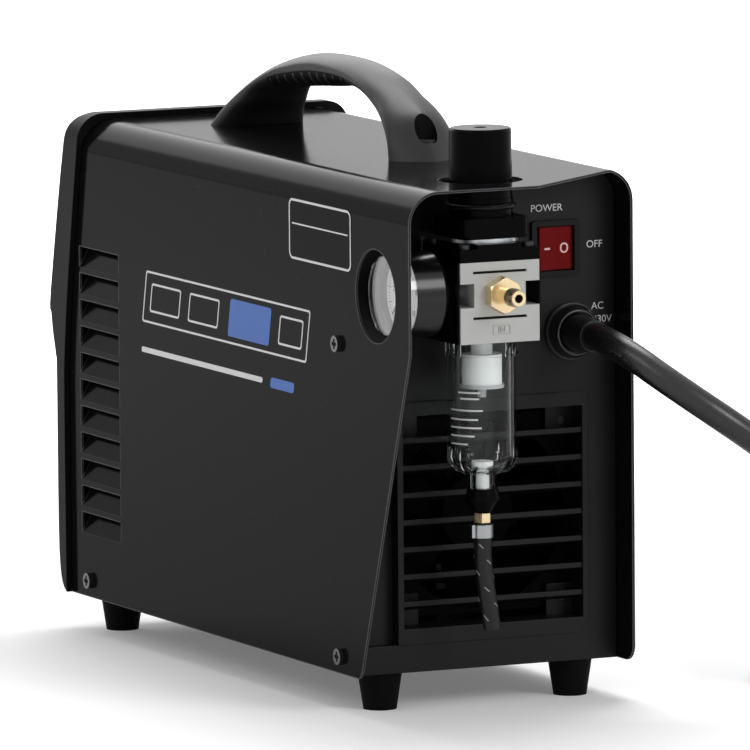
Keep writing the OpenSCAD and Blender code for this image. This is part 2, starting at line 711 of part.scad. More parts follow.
notch_h = 11;
notch_d = 7;
body_top = reg_z + reg_h;
neck_top = body_top + bonnet_h + neck_h;
bowl_top_d = bowl_d - 2 * bowl_wall;
outlet_d = 12.9;

module at_regulator() {
    translate([reg_x, reg_y, 0]) children();
}

module regulator_body() color(silver) at_regulator() difference() {
    translate([-reg_w / 2, -reg_w / 2, reg_z]) cube([reg_w, reg_w, reg_h]);
    // channels along both sides, open to the front and back
    for (s = [-1, 1]) translate([s * reg_w / 2 - notch_d, -reg_w / 2 - 1, port_z - notch_h / 2])
        cube([2 * notch_d, reg_w + 2, notch_h]);
    // thin grooves above and below the port boss
    for (s = [-1, 1], h = [-1, 1]) translate([-13.5, s * (reg_w / 2 - 0.5) - 0.5, port_z + h * 10.5 - 0.6])
        cube([27, 1, 1.2]);
    for (s = [-1, 1]) rod_y([0, s > 0 ? reg_w / 2 - 9 : -reg_w / 2 - 1, port_z], outlet_d, 10);
    rod_x([reg_w / 2 - notch_d - 8, 0, port_z], gauge_thread_d, 12);
    rod_z([0, 0, reg_z - 1], bowl_top_d - 1, 7);
    rod_z([0, 0, body_top - 12], 20, 13);
}

gauge_thread_d = 9.7;
cover_plate_t = 1;

module regulator_side_covers() color(rubber) at_regulator() for (s = [0, 1]) mirror([s, 0, 0]) difference() {
    union() {
        translate([reg_w / 2, -reg_w / 2, reg_z]) cube([cover_plate_t, reg_w - 1, reg_h]);
        for (i = [0:3]) translate([reg_w / 2 + cover_plate_t, reg_w / 2 - 8 - i * 2.6, reg_z + 3])
            cube([1.2, 1.2, reg_h - 6]);
    }
    rod_x([0, 0, port_z], gauge_stem_d + 2, reg_w);
}

module bonnet() color(rubber) at_regulator() difference() {
    union() {
        translate([-reg_w / 2, -reg_w / 2, body_top]) cube([reg_w, reg_w, bonnet_h - 2]);
        translate([-reg_w / 2 + 9, -reg_w / 2, body_top]) cube([reg_w - 18, reg_w, bonnet_h]);
        rod_z([0, 0, body_top], neck_d, bonnet_h + neck_h);
    }
    rod_z([0, 0, body_top - 1], 20, bonnet_h + neck_h - 5);
    rod_z([0, 0, body_top], screw_d + 2 * shaft_gap, bonnet_h + neck_h + 1);
    for (sx = [-1, 1], sy = [-1, 1])
        rod_z([sx * (reg_w / 2 - 4), sy * (reg_w / 2 - 4), body_top - 1], 3 + 2 * fit_gap, bonnet_h + 2);
}

module bonnet_screws() color(zinc) at_regulator() for (sx = [-1, 1], sy = [-1, 1]) difference() {
    rod_z([sx * (reg_w / 2 - 4), sy * (reg_w / 2 - 4), body_top + bonnet_h - 2], 5.4, 2);
    translate([sx * (reg_w / 2 - 4), sy * (reg_w / 2 - 4), body_top + bonnet_h]) cube([3.4, 0.8, 1.4], center = true);
}

bracket_z = body_top + bonnet_h;
nut_z = bracket_z + bracket_t;

module ring_nut() color(rubber) at_regulator() difference() {
    translate([0, 0, nut_z]) intersection() {
        linear_extrude(ring_nut_h) round_rect(ring_nut_w, ring_nut_w, 4);
        cylinder(d1 = 1.32 * ring_nut_w - 2, d2 = 1.32 * ring_nut_w + ring_nut_h, h = ring_nut_h);
    }
    rod_z([0, 0, nut_z - 1], neck_d + 2 * shaft_gap, ring_nut_h + 2);
}

bracket_w = 34;
bracket_drop = 15;
bracket_hole = 24;
bracket_screw_z = bracket_z - 6;

// The bracket hangs the regulator on the rear panel by its neck
module bracket() color(zinc) at_regulator() difference() {
    union() {
        translate([-bracket_w / 2, -reg_out, bracket_z]) cube([bracket_w, reg_out, bracket_t]);
        rod_z([0, 0, bracket_z], bracket_w, bracket_t);
        translate([-bracket_w / 2, -reg_out, bracket_z - bracket_drop]) cube([bracket_w, bracket_t, bracket_drop + bracket_t]);
    }
    rod_z([0, 0, bracket_z - 1], neck_d + 2 * fit_gap, bracket_t + 2);
    for (s = [-1, 1]) rod_y([s * bracket_hole / 2, -reg_out - 1, bracket_screw_z], 4 + 2 * fit_gap, bracket_t + 2);
}

module bracket_screws() color(zinc) at_regulator() for (s = [-1, 1]) {
    rod_y([s * bracket_hole / 2, -reg_out + bracket_t, bracket_screw_z], 7.4, 2.4);
    rod_y([s * bracket_hole / 2, -reg_out - wall - 7, bracket_screw_z], 4, bracket_t + wall + 8);
    rod_y([s * bracket_hole / 2, -reg_out - wall - 3.2, bracket_screw_z], 7.6, 3.2);
}

lock_ring_d = 33;
lock_ring_h = 2.4;
knob_z = neck_top + lock_ring_h + fit_gap;

module lock_ring() color("#3a3b3d") at_regulator() difference() {
    rotate_extrude() {
        translate([0, neck_top]) square([lock_ring_d / 2 - lock_ring_h / 2, lock_ring_h]);
        translate([lock_ring_d / 2 - lock_ring_h / 2, neck_top + lock_ring_h / 2]) intersection() {
            circle(lock_ring_h / 2);
            translate([0, -lock_ring_h]) square(2 * lock_ring_h);
        }
    }
    rod_z([0, 0, neck_top - 1], screw_d + 2 * shaft_gap, lock_ring_h + 2);
}

spline_af = 12;
knob_edge = 0.9;

// The screw turns in the bonnet, and its hexagon head carries the knob
module adjusting_screw() color(zinc) at_regulator() {
    rod_z([0, 0, body_top + 2], screw_d, knob_z + 3 - body_top - 2);
    translate([0, 0, knob_z + 0.2]) cylinder(d = spline_af / cos(30), h = knob_h - 8, $fn = 6);
    rod_z([0, 0, body_top + 2], 16, 2.5);
}

module knob() color(rubber) at_regulator() difference() {
    union() {
        rod_z([0, 0, knob_z], knob_d + 1.4, 2.2);
        translate([0, 0, knob_z]) cylinder(d1 = knob_d + 0.8, d2 = knob_d, h = knob_h - knob_edge);
        translate([0, 0, knob_z + knob_h - knob_edge]) cylinder(d1 = knob_d, d2 = knob_d - 1.6 * knob_edge, h = knob_edge);
    }
    translate([0, 0, knob_z - 1])
        cylinder(d = (spline_af + 0.3) / cos(30), h = knob_h - 8 + 1 + 0.6 + knob_lift, $fn = 6);
    rod_z([0, 0, knob_z + knob_h - 0.5], 6, 2);
}

// ---- pressure gauge ----

gauge_stem_d = 11;
gauge_case_x = gauge_face_x - gauge_cap - gauge_depth;
gauge_wall = 1.6;
dial_x = gauge_case_x + gauge_depth - 4;
needle_pin_d = 1.6;

module at_gauge(x) {
    translate([x, reg_y, port_z]) rotate([0, 90, 0]) children();
}

module gauge_stem() color(silver) {
    reach = gauge_case_x - (reg_x + reg_w / 2 - notch_d);
    at_gauge(reg_x + reg_w / 2 - notch_d) cylinder(d = gauge_stem_d, h = reach - 1.2);
    at_gauge(reg_x + reg_w / 2 - notch_d - 7) cylinder(d = gauge_thread_d - 0.2, h = 8);
    at_gauge(gauge_case_x - 1.2) cylinder(d = 19, h = 1.2);
}

module gauge_case() color(steel_black) difference() {
    at_gauge(gauge_case_x) union() {
        cylinder(d1 = gauge_d - 3, d2 = gauge_d, h = 2);
        translate([0, 0, 2]) cylinder(d = gauge_d, h = gauge_depth - 2);
    }
    at_gauge(gauge_case_x + gauge_wall) cylinder(d = gauge_d - 2 * gauge_wall, h = gauge_depth);
}

module gauge_dial() color("#eceae4") difference() {
    union() {
        at_gauge(dial_x) cylinder(d = gauge_d - 2 * gauge_wall - 0.4, h = 1);
        at_gauge(gauge_case_x + gauge_wall) cylinder(d = 8, h = dial_x - gauge_case_x - gauge_wall);
    }
    at_gauge(dial_x - 4) cylinder(d = needle_pin_d + 2 * shaft_gap, h = 6);
}

module gauge_needle() color(rubber) {
    at_gauge(dial_x - 3) cylinder(d = needle_pin_d, h = 6);
    at_gauge(dial_x + 1.6) cylinder(d = 4.4, h = 1);
    translate([dial_x + 1.8, reg_y, port_z]) rotate([135, 0, 0])
        along_x(0, 0.6) polygon([[-0.9, -5], [0.9, -5], [0.35, gauge_d / 2 - 6], [-0.35, gauge_d / 2 - 6]]);
}

module gauge_cap() color(clear) difference() {
    at_gauge(gauge_case_x + gauge_depth) union() {
        cylinder(d = gauge_d, h = gauge_cap - 2.5);
        translate([0, 0, gauge_cap - 2.5]) cylinder(d1 = gauge_d, d2 = gauge_d - 4, h = 2.5);
    }
    at_gauge(gauge_case_x + gauge_depth - 1) cylinder(d = gauge_d - 2 * gauge_wall - 0.6, h = gauge_cap - 0.6);
}

// ---- air fittings, filter bowl and drain ----

hex_l = 6.5;
inlet_y = reg_y + reg_w / 2;

module inlet_fitting() color(brass) difference() {
    union() {
        rod_y([reg_x, inlet_y - 7, port_z], outlet_d - 0.2, 7.2);
        translate([reg_x, inlet_y, port_z]) rotate([-90, 30, 0]) intersection() {
            cylinder(d = hex_af / cos(30), h = hex_l, $fn = 6);
            cylinder(d1 = hex_af + 14, d2 = hex_af + 0.6, h = hex_l);
        }
        rod_y([reg_x, inlet_y + hex_l - 0.2, port_z], tail_d, tail_l + 0.2);
        for (i = [0:1]) translate([reg_x, inlet_y + hex_l + 6.4 + 3.4 * i, port_z]) rotate([-90, 0, 0])
            cylinder(d1 = tail_d + 1.6, d2 = tail_d, h = 2.6);
    }
    rod_y([reg_x, inlet_y - 8, port_z], tail_d - 3, 30);
}

// The outlet runs from the regulator's back through the panel to the solenoid valve
module outlet_fitting() color(brass) difference() {
    union() {
        rod_y([reg_x, reg_y - reg_w / 2, port_z], outlet_d - 0.2, 7);
        translate([reg_x, panel_y, port_z]) rotate([-90, 0, 0])
            cylinder(d = 16 / cos(30), h = reg_out - reg_w / 2, $fn = 6);
        rod_y([reg_x, valve_y1, port_z], outlet_d - 0.2, panel_y - valve_y1 + 0.2);
    }
    rod_y([reg_x, valve_y1 - 1, port_z], 6, 60);
}

bowl_round = 8;
bowl_stub_d = 11;
bowl_stub_h = 7.4;
bowl_rib_n = 12;
bowl_rib_w = 2.4;
collar_h = 7;
bowl_foot = reg_z - bowl_h;

module bowl() color(clear) at_regulator() difference() {
    r = bowl_d / 2;
    union() {
        rotate_extrude() translate([0, bowl_foot]) difference() {
            union() {
                square([r - bowl_round, bowl_h]);
                translate([0, bowl_round]) square([r, bowl_h - bowl_round]);
                translate([r - bowl_round, bowl_round]) circle(bowl_round);
                translate([0, bowl_h - collar_h]) square([r + 1.1, collar_h]);
                translate([0, -bowl_stub_h]) square([bowl_stub_d / 2, bowl_stub_h + 1]);
            }
            translate([-20, -20]) square([20, 120]);
        }
        // moulded ribs that follow the rounding of the foot
        for (i = [0:bowl_rib_n - 1]) rotate([0, 0, 360 * i / bowl_rib_n])
            translate([r - bowl_round, -bowl_rib_w / 2, bowl_foot + bowl_round]) rotate([-90, 0, 0])
                cylinder(r = bowl_round + 0.6, h = bowl_rib_w);
    }
    rotate_extrude() translate([0, bowl_foot]) difference() {
        union() {
            translate([-1, bowl_round]) square([r - bowl_wall + 1, bowl_h]);
            translate([-1, bowl_wall]) square([r - bowl_round + 1, bowl_h]);
            translate([r - bowl_round, bowl_round]) circle(bowl_round - bowl_wall);
            translate([-1, -bowl_stub_h - 1]) square([4.5, bowl_stub_h + 6]);
        }
        translate([-20, -20]) square([20, 120]);
    }
    // shallow grip slots round the collar
    for (a = [0:45:315]) rotate([0, 0, a + 22.5])
        translate([r + 0.3, -2, bowl_foot + bowl_h - collar_h - 1]) cube([3, 4, collar_h + 2]);
}

module filter_element() color("#f2f2ee") at_regulator() {
    rod_z([0, 0, reg_z - 20.9], filter_d, 14);
    rod_z([0, 0, reg_z - 7], 10, 13);
}

module baffle() color("#d8dadb") at_regulator() {
    rod_z([0, 0, reg_z - 22.4], filter_d + 2, 1.5);
    rod_z([0, 0, reg_z - 27], 4, 5);
}

module drain_valve() color("#e8e6df") at_regulator() {
    rod_z([0, 0, drain_z - 0.2], 6, drain_h + bowl_stub_h + 0.2 + bowl_wall + 2);
    rod_z([0, 0, bowl_foot + bowl_wall], 10, 2.4);
}

module drain_tail() color(brass) at_regulator() difference() {
    union() {
        translate([0, 0, hose_top]) cylinder(d = 8.2, h = 4.4, $fn = 6);
        rod_z([0, 0, hose_top - 9], 4.4, 10);
    }
    rod_z([0, 0, hose_top - 10], 2.4, 12);
}

drain_z = bowl_foot - bowl_stub_h - drain_h;
hose_top = drain_z - 4.6;

module drain_knob() color(rubber) at_regulator() difference() {
    union() {
        translate([0, 0, drain_z + 5.8]) cylinder(d1 = drain_d, d2 = drain_d - 2.4, h = drain_h - 6);
        translate([0, 0, drain_z]) cylinder(d1 = 9.4, d2 = drain_d, h = 5.8);
    }
    rod_z([0, 0, drain_z - 1], 6 + 2 * shaft_gap, drain_h + 2);
    for (a = [0:30:330]) rotate([0, 0, a]) translate([drain_d / 2 + 0.7, 0, drain_z + 4]) cylinder(d = 2.2, h = 9);
}

// Points of the drain hose, from its top end to its open end, from the regulator's axis and the hose's top
hose_route = [[0, 0, 0], [0, 0, -8], [0, 0, -16], [-0.4, 0.6, -24], [-1.2, 1.2, -32], [-2.2, 1.8, -40], [-3.4, 2.2, -49.4]];

module drain_hose() color(rubber) difference() {
    at_regulator() translate([0, 0, hose_top]) tube(hose_route, hose_d, 12, [0, 0, -1]);
    at_regulator() translate([0, 0, hose_top]) rod_z([0, 0, -9.2], 4.6, 10);
}

module hose_clamp() color(silver) at_regulator() difference() {
    union() {
        rod_z([0, 0, hose_top - 7], hose_d + 1.6, 6);
        translate([hose_d / 2 - 1, -1.5, hose_top - 7]) cube([3, 3, 6]);
    }
    rod_z([0, 0, hose_top - 8], hose_d + 0.1, 8);
}

// ---- fan ----

fan_pitch = fan_w - 9.5;
fan_z = grille_z + grille_h / 2;
fan_y1 = panel_y - wall - slat_d;
fan_y0 = fan_y1 - fan_depth;
fan_bore = fan_w - 5;
hub_d = 36;
fan_shaft_d = 3;

module fan_housing() color(steel_black) translate([grille_x, 0, fan_z]) difference() {
    union() {
        difference() {
            along_y(fan_y0, fan_depth) round_rect(fan_w, fan_w, 4);
            rod_y([0, fan_y0 - 1, 0], fan_bore, fan_depth + 2);
        }
        rod_y([0, fan_y0, 0], hub_d - 2, 4);
        for (a = [45:90:315]) rotate([0, a, 0]) translate([0, fan_y0, -2]) cube([fan_bore / 2 + 1, 3, 4]);
    }
    rod_y([0, fan_y0 - 1, 0], fan_shaft_d + 2 * shaft_gap, 6);
    for (sx = [-1, 1], sz = [-1, 1])
        rod_y([sx * fan_pitch / 2, fan_y0 - 1, sz * fan_pitch / 2], 4.3, fan_depth + 2);
}

module fan_rotor() color(rubber) translate([grille_x, 0, fan_z]) {
    rod_y([0, fan_y0 + 4.4, 0], hub_d, fan_depth - 6);
    rod_y([0, fan_y0 + 0.4, 0], fan_shaft_d, 6);
    for (i = [0:blade_n - 1]) rotate([0, 360 * i / blade_n, 0])
        intersection() {
            translate([hub_d / 2 - 1.5, fan_y0 + fan_depth / 2 + 2, 0]) rotate([38, 0, 0])
                cube([fan_bore / 2 - tip_gap - hub_d / 2 + 1.5, 1.8, 26], center = false);
            rod_y([0, fan_y0 + 4.6, 0], fan_bore - 2 * tip_gap, fan_depth - 6.4);
        }
}

module fan_screws() color(zinc) translate([grille_x, 0, fan_z]) for (sx = [-1, 1], sz = [-1, 1]) {
    rod_y([sx * fan_pitch / 2, fan_y0 - 2.6, sz * fan_pitch / 2], 7, 2.6);
    rod_y([sx * fan_pitch / 2, fan_y0 - 0.1, sz * fan_pitch / 2], fan_screw_d, fan_depth + gusset_t - fan_screw_short);
}

// ---- inside the case ----

board_z = foot_h + sheet_t + 12;
board_y0 = front_y + 30;
board_y1 = fan_y0 - 14;
board_half = 56;
board_t = 1.6;

module main_board() color("#1f5c3a") {
    translate([-board_half, board_y0, board_z]) cube([2 * board_half, board_y1 - board_y0, board_t]);
    color(brass) for (s = [-1, 1], y = [board_y0 + 8, board_y1 - 8])
        rod_z([s * (board_half - 6), y, foot_h + sheet_t], 7, 12);
    // connectors and a driver board along the left edge
    color("#e8e6df") for (i = [0:3]) translate([board_half - 12, board_y0 + 20 + i * 22, board_z + board_t])
        cube([8, 14, 9]);
}

sink_w = 42;
sink_l = 92;
sink_h = 78;
sink_base = 8;
web_t = 10;
fin_n = 8;
fin_t = 3;
fin_pitch = 9;
sink_y0 = board_y1 - sink_l - 4;
row_x = 28;
can_d = 29;
can_h = 46;
can_pitch = can_d + 3;
core_w = 42;
core_l = 48;
core_h = 44;
core_t = 9;
leg_t = 8;
transformer_y = 18 + 3 * can_pitch + 16;

// Fins stand out to both sides of the heat sink's middle web
module heat_sink() color(zinc) translate([-44, sink_y0, board_z + board_t]) difference() {
    cube([sink_w, sink_l, sink_h]);
    for (i = [0:fin_n - 1], x = [-1, (sink_w + web_t) / 2])
        translate([x, -1, sink_base + i * fin_pitch]) cube([(sink_w - web_t) / 2 + 1, sink_l + 2, fin_pitch - fin_t]);
}

// A pair of E-shaped ferrite halves round a wound bobbin
module transformer() translate([row_x, board_y0 + transformer_y, board_z + board_t]) {
    color("#2c2d30") difference() {
        translate([-core_w / 2, -core_l / 2, 0]) cube([core_w, core_l, core_h]);
        translate([-core_w / 2 - 1, leg_t - core_l / 2, core_t]) cube([core_w + 2, core_l - 2 * leg_t, core_h - 2 * core_t]);
    }
    color("#c08a3a") translate([2 - core_w / 2, leg_t + fit_gap - core_l / 2, core_t + fit_gap])
        cube([core_w - 4, core_l - 2 * leg_t - 2 * fit_gap, core_h - 2 * core_t - fit_gap]);
}

module capacitors() color("#20242e") for (i = [0:2])
    rod_z([row_x, board_y0 + 18 + i * can_pitch, board_z + board_t], can_d, can_h);

valve_y1 = panel_y - wall - 12;

module solenoid_valve() translate([reg_x, valve_y1, port_z]) {
    color(brass) difference() {
        translate([-12, -26, -11]) cube([24, 26, 22]);
        rod_y([0, -12, 0], outlet_d - 4, 13);
    }
    color("#2a2b2e") translate([-13, -26, -38]) cube([26, 26, 27]);
    color(zinc) rod_z([0, -13, -44], 9, 6);
    color(brass) rod_y([0, -36, 0], 7, 10);
}

// Points of the air hose, from the valve to the torch connector
torch_back_y = brow_y + 9.4 + panel_inset + panel_t + 8;
air_route = [
    [reg_x, valve_y1 - 36, port_z], [reg_x, valve_y1 - 52, port_z], [reg_x - 4, 40, port_z - 2],
    [2, 10, 186], [-14, -30, 172], [-28, -70, 158], [-36, -106, 138], [-39, -130, 112], [-38, -142, 88],
    [-front_x, torch_back_y + 20, front_z + 4], [-front_x, torch_back_y + 10, front_z], [-front_x, torch_back_y, front_z]
];

module air_hose() color("#2b5fa8") tube(air_route, 7.6, 10, [0, -1, 0], [0, -1, 0]);

// ---- front controls ----

dial_shaft_d = 6;
dial_h = 15;
light_up = 64;
light_d = 5;

module current_knob() color(rubber) on_slope(dial_up) translate([0, 0, 0.6]) difference() {
    union() {
        cylinder(d1 = dial_d, d2 = dial_d - 3, h = dial_h - 1.5);
        translate([0, 0, dial_h - 1.5]) cylinder(d1 = dial_d - 3, d2 = dial_d - 6, h = 1.5);
    }
    for (a = [0:20:340]) rotate([0, 0, a]) translate([dial_d / 2 + 0.5, 0, 2]) cylinder(d = 2.4, h = dial_h);
    translate([0, 0, -1]) cylinder(d = dial_shaft_d - 0.2 + 2 * shaft_gap, h = dial_h - 3);
    translate([0, dial_d / 4 + 1, dial_h - 0.2]) cube([1.4, dial_d / 2 - 3, 1.2], center = true);
}

module potentiometer() color(zinc) on_slope(dial_up) {
    translate([0, 0, -panel_t - 9.2]) cylinder(d = 16, h = 9);
    translate([0, 0, -panel_t - 1]) cylinder(d = dial_shaft_d - 0.2, h = dial_h);
}

module indicator_lights() for (i = [-1:1])
    color(["#3fae49", "#e0b02a", "#c8342c"][i + 1]) on_slope(light_up) translate([i * 16, 0, 0]) {
        translate([0, 0, -panel_t - 3]) cylinder(d = light_d, h = panel_t + 4);
        translate([0, 0, 1]) sphere(d = light_d);
        translate([0, 0, -panel_t - 4]) cylinder(d = light_d + 1.6, h = 1.2);
    }

face_y = brow_y + 6.4 + panel_inset;
torch_hole_d = torch_d + 6;
torch_out = 23;
earth_hole_d = earth_d - 8;
earth_out = 12;
pilot_d = 12;
pilot_up = 32;

module torch_connector() translate([-front_x, face_y, front_z]) {
    color(rubber) difference() {
        union() {
            rod_y([0, -4, 0], torch_d + 14, 3.8);
            rod_y([0, -4, 0], torch_hole_d - 2 * fit_gap, 14);
        }
        rod_y([0, -5, 0], torch_d - 2, 20);
    }
    color(brass) difference() {
        rod_y([0, -torch_out, 0], torch_d, torch_out - 2);
        rod_y([0, -torch_out - 1, 0], 6, torch_out - 6);
        for (a = [0:90:270]) rotate([0, a, 0]) rod_y([5.4, -torch_out - 1, 0], 1.8, 8);
    }
    color(brass) rod_y([0, -3, 0], torch_d - 2, torch_back_y - face_y + 3);
}

module pilot_socket() color(rubber) translate([0, face_y, front_z + pilot_up]) difference() {
    union() {
        rod_y([0, -2, 0], pilot_d + 5, 1.8);
        rod_y([0, -2, 0], pilot_d, 14);
    }
    rod_y([0, -3, 0], pilot_d - 3, 9);
}

module earth_socket() translate([front_x, face_y, front_z]) {
    color(rubber) difference() {
        union() {
            rod_y([0, -4, 0], earth_d, 3.8);
            rod_y([0, -earth_out, 0], earth_d - 8, earth_out);
            rod_y([0, -4, 0], earth_hole_d - 2 * fit_gap, 16);
        }
        rod_y([0, -earth_out - 1, 0], 17, earth_out + 14);
    }
    color(brass) difference() {
        rod_y([0, -earth_out + 3, 0], 17, 22);
        rod_y([0, -earth_out + 2, 0], earth_bore, 18);
    }
    color(brass) rod_y([0, 13, 0], 8, 10);
}

// ---- mains lead ----

gland_thread_d = 20;
gland_x = gland_in - half_w;
flange_t = 3;
thread_end = gland_l - 2.6;
nut_d = gland_d - 1.5;
lip_d = gland_d - 4.6;
lip_r = 1;
sleeve_d = lip_d - 3.4;
sleeve_l = 20;

module gland_body() color(rubber) difference() {
    union() {
        rod_y([gland_x, panel_y, gland_z], gland_d, flange_t);
        rod_y([gland_x, panel_y - wall - 8, gland_z], gland_thread_d, wall + 8 + thread_end);
        translate([gland_x, panel_y - wall - 6, gland_z]) rotate([-90, 0, 0]) cylinder(d = 27, h = 5.8, $fn = 6);
        // tapered strain relief on the lead
        translate([gland_x, panel_y + thread_end - 1, gland_z]) rotate([-90, 0, 0])
            cylinder(d1 = sleeve_d, d2 = lead_d + 1.6, h = sleeve_l);
    }
    rod_y([gland_x, panel_y - wall - 9, gland_z], lead_d + 2 * shaft_gap, wall + 10 + thread_end + sleeve_l);
}

// The nut narrows towards a rounded lip round its open front
module gland_nut() color(rubber) translate([gland_x, panel_y, gland_z]) rotate([-90, 0, 0]) difference() {
    rotate_extrude() difference() {
        union() {
            translate([0, flange_t]) square([nut_d / 2, 2]);
            polygon([[0, flange_t + 2], [nut_d / 2, flange_t + 2], [lip_d / 2, gland_l - lip_r], [0, gland_l - lip_r]]);
            translate([lip_d / 2 - lip_r, gland_l - lip_r]) circle(lip_r);
            square([lip_d / 2 - lip_r, gland_l]);
        }
        translate([-1, -1]) square([gland_thread_d / 2 + shaft_gap + 1, thread_end + 1]);
        translate([-1, 0]) square([lip_d / 2 - 1.2 * lip_r + 1, gland_l + 1]);
        translate([-20, -1]) square([20, gland_l + 2]);
    }
}

// Points of the mains lead's free stretch, from inside the gland to the coil
lead_start = [gland_x, panel_y + 2, gland_z];
floor_gap = 0.15;
lead_route = [
    [-44, 168, 171.5], [-44.9, 177.9, 170.2], [-47.4, 187.5, 167.4], [-51.6, 196.5, 163.1], [-57.3, 204.6, 157.4],
    [-64.4, 211.7, 151.1], [-72.5, 217.4, 144.5], [-81.5, 221.6, 137.7], [-91.1, 224.1, 130.7], [-101, 225, 123.5],
    [-112, 225, 114.9], [-123, 225, 105.2], [-134, 225, 94.8], [-145, 225, 84.2], [-155.5, 225, 73.7]
];
// Points of the lead's landing on the coil, from where the coil starts
landing = [[39.6, 0, 16.6], [32.9, 0, 10.8], [22.8, 0, 4.9], [11.6, 0, 1.2], [0, 0, 0]];
coil_c = [-217.5, 154.4, lead_d / 2 + floor_gap];
coil_layers = 4;
coil_climb = 0.5;
coil_step = lead_d + 3;
layer_z = lead_d + 0.7;
coil_run = (coil_turns - (coil_layers - 1) * coil_climb) / coil_layers;
coil_out = coil_d / 2 + coil_run * coil_step / 2;
coil_in = coil_out - coil_run * coil_step;
plug_rise = 10.7;
tail_flat = 26;
tail_up = 30;

// From the top layer down, each layer spirals in or out at a steady rate, and the next is reached in half a turn
function coil_layer(t) = min(coil_layers - 1, floor(t / (coil_run + coil_climb)));
function coil_radius(t) =
    let (k = coil_layer(t), u = min(1, (t - k * (coil_run + coil_climb)) / coil_run))
    k % 2 == 0 ? coil_out + (coil_in - coil_out) * u : coil_in + (coil_out - coil_in) * u;
function coil_height(t) =
    let (k = coil_layer(t), u = (t - k * (coil_run + coil_climb) - coil_run) / coil_climb)
    layer_z * (coil_layers - 1 - k - max(0, u));
function coil_point(t) =
    coil_c + [coil_radius(t) * cos(90 + 360 * t), coil_radius(t) * sin(90 + 360 * t), coil_height(t)];
coil_rings = ceil(24 * coil_turns);
coil_path = [for (i = [0:coil_rings]) coil_point(coil_turns * i / coil_rings)];
coil_gap = min([
    for (i = [0:coil_rings - 12], j = [i + 12:coil_rings]) norm(coil_path[i] - coil_path[j])
]) - lead_d;
echo(coil_least_gap = coil_gap);

coil_start = coil_path[0] + [lead_d, 0, 0];
coil_flat = unit(coil_path[coil_rings] - coil_path[coil_rings - 1]);
coil_exit = unit([coil_flat[0] * cos(plug_rise), coil_flat[1] * cos(plug_rise), sin(plug_rise)]);
coil_level = coil_path[coil_rings] + tail_flat * unit([coil_flat[0], coil_flat[1], 0]);
coil_end = coil_level + tail_up * coil_exit;

lead_path = concat([lead_start, [gland_x, panel_y + 14, gland_z]], lead_route, [for (p = landing) coil_start + p]);

module mains_lead() color(rubber) tube(lead_path, lead_d, 10, [0, 1, 0], [-1, 0, 0]);

module lead_coil() color(rubber) tube(concat([coil_start], coil_path, [coil_level, coil_end]), lead_d, 6, [-1, 0, 0], coil_exit);

plug_turn = atan2(coil_exit[1], coil_exit[0]);

module at_plug() {
    translate(coil_end) rotate([0, 0, plug_turn]) rotate([0, 90 - plug_rise, 0]) children();
}

module plug_body() color(rubber) at_plug() {
    cylinder(d1 = lead_d + 3, d2 = lead_d + 7, h = 14);
    translate([0, 0, 14]) cylinder(d1 = lead_d + 7, d2 = 34, h = 12);
    translate([0, 0, 26]) cylinder(d = 34, h = 10);
    translate([0, 0, 36]) cylinder(d = 36.5, h = 8);
}

module plug_pins() color(silver) at_plug() for (s = [-1, 1])
    translate([0, s * 9.5, 44]) cylinder(d = 4.8, h = 19);

cover();
base_tray();
bezel();
front_panel();
rear_panel();
feet();
foot_screws();
cover_screws();
handle();
handle_screws();
handle_nuts();
switch_body();
rocker();
regulator_body();
regulator_side_covers();
bonnet();
bonnet_screws();
ring_nut();
bracket();
bracket_screws();
lock_ring();
adjusting_screw();
knob();
gauge_stem();
gauge_case();
gauge_dial();
gauge_needle();
gauge_cap();
inlet_fitting();
outlet_fitting();
bowl();
filter_element();
baffle();
drain_valve();
drain_knob();
drain_tail();
hose_clamp();
drain_hose();
fan_housing();
fan_rotor();
fan_screws();
main_board();
heat_sink();
transformer();
capacitors();
solenoid_valve();
air_hose();
current_knob();
potentiometer();
indicator_lights();
torch_connector();
pilot_socket();
earth_socket();
gland_body();
gland_nut();
mains_lead();
lead_coil();
plug_body();
plug_pins();
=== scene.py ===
import json
import math

import bmesh
import bpy
from mathutils import Matrix, Vector


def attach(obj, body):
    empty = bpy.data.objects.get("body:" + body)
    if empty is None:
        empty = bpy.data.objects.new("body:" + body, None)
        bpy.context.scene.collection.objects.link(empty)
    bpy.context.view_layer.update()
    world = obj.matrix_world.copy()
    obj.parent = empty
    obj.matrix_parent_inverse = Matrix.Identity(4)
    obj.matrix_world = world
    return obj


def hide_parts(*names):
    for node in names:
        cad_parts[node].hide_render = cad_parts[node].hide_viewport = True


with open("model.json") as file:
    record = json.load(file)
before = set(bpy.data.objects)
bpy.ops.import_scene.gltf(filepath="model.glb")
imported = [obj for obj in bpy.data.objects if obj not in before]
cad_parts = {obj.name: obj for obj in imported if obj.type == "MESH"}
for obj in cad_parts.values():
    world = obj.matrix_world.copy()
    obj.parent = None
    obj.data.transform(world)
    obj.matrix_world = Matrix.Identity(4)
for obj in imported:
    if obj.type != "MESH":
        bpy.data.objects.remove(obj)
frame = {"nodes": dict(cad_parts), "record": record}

mm = 0.001
scene = bpy.context.scene
nodes = frame["nodes"]
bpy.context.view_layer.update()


camera = {
    "azimuth": 24.97,  # degrees from straight behind, towards the side with the gauge
    "elevation": 7.06,
    "roll": -0.463,
    "lens": 621.98,  # mm, on a sensor 36 mm wide
    "place": (2.5475, 5.4915, 0.8878),
}


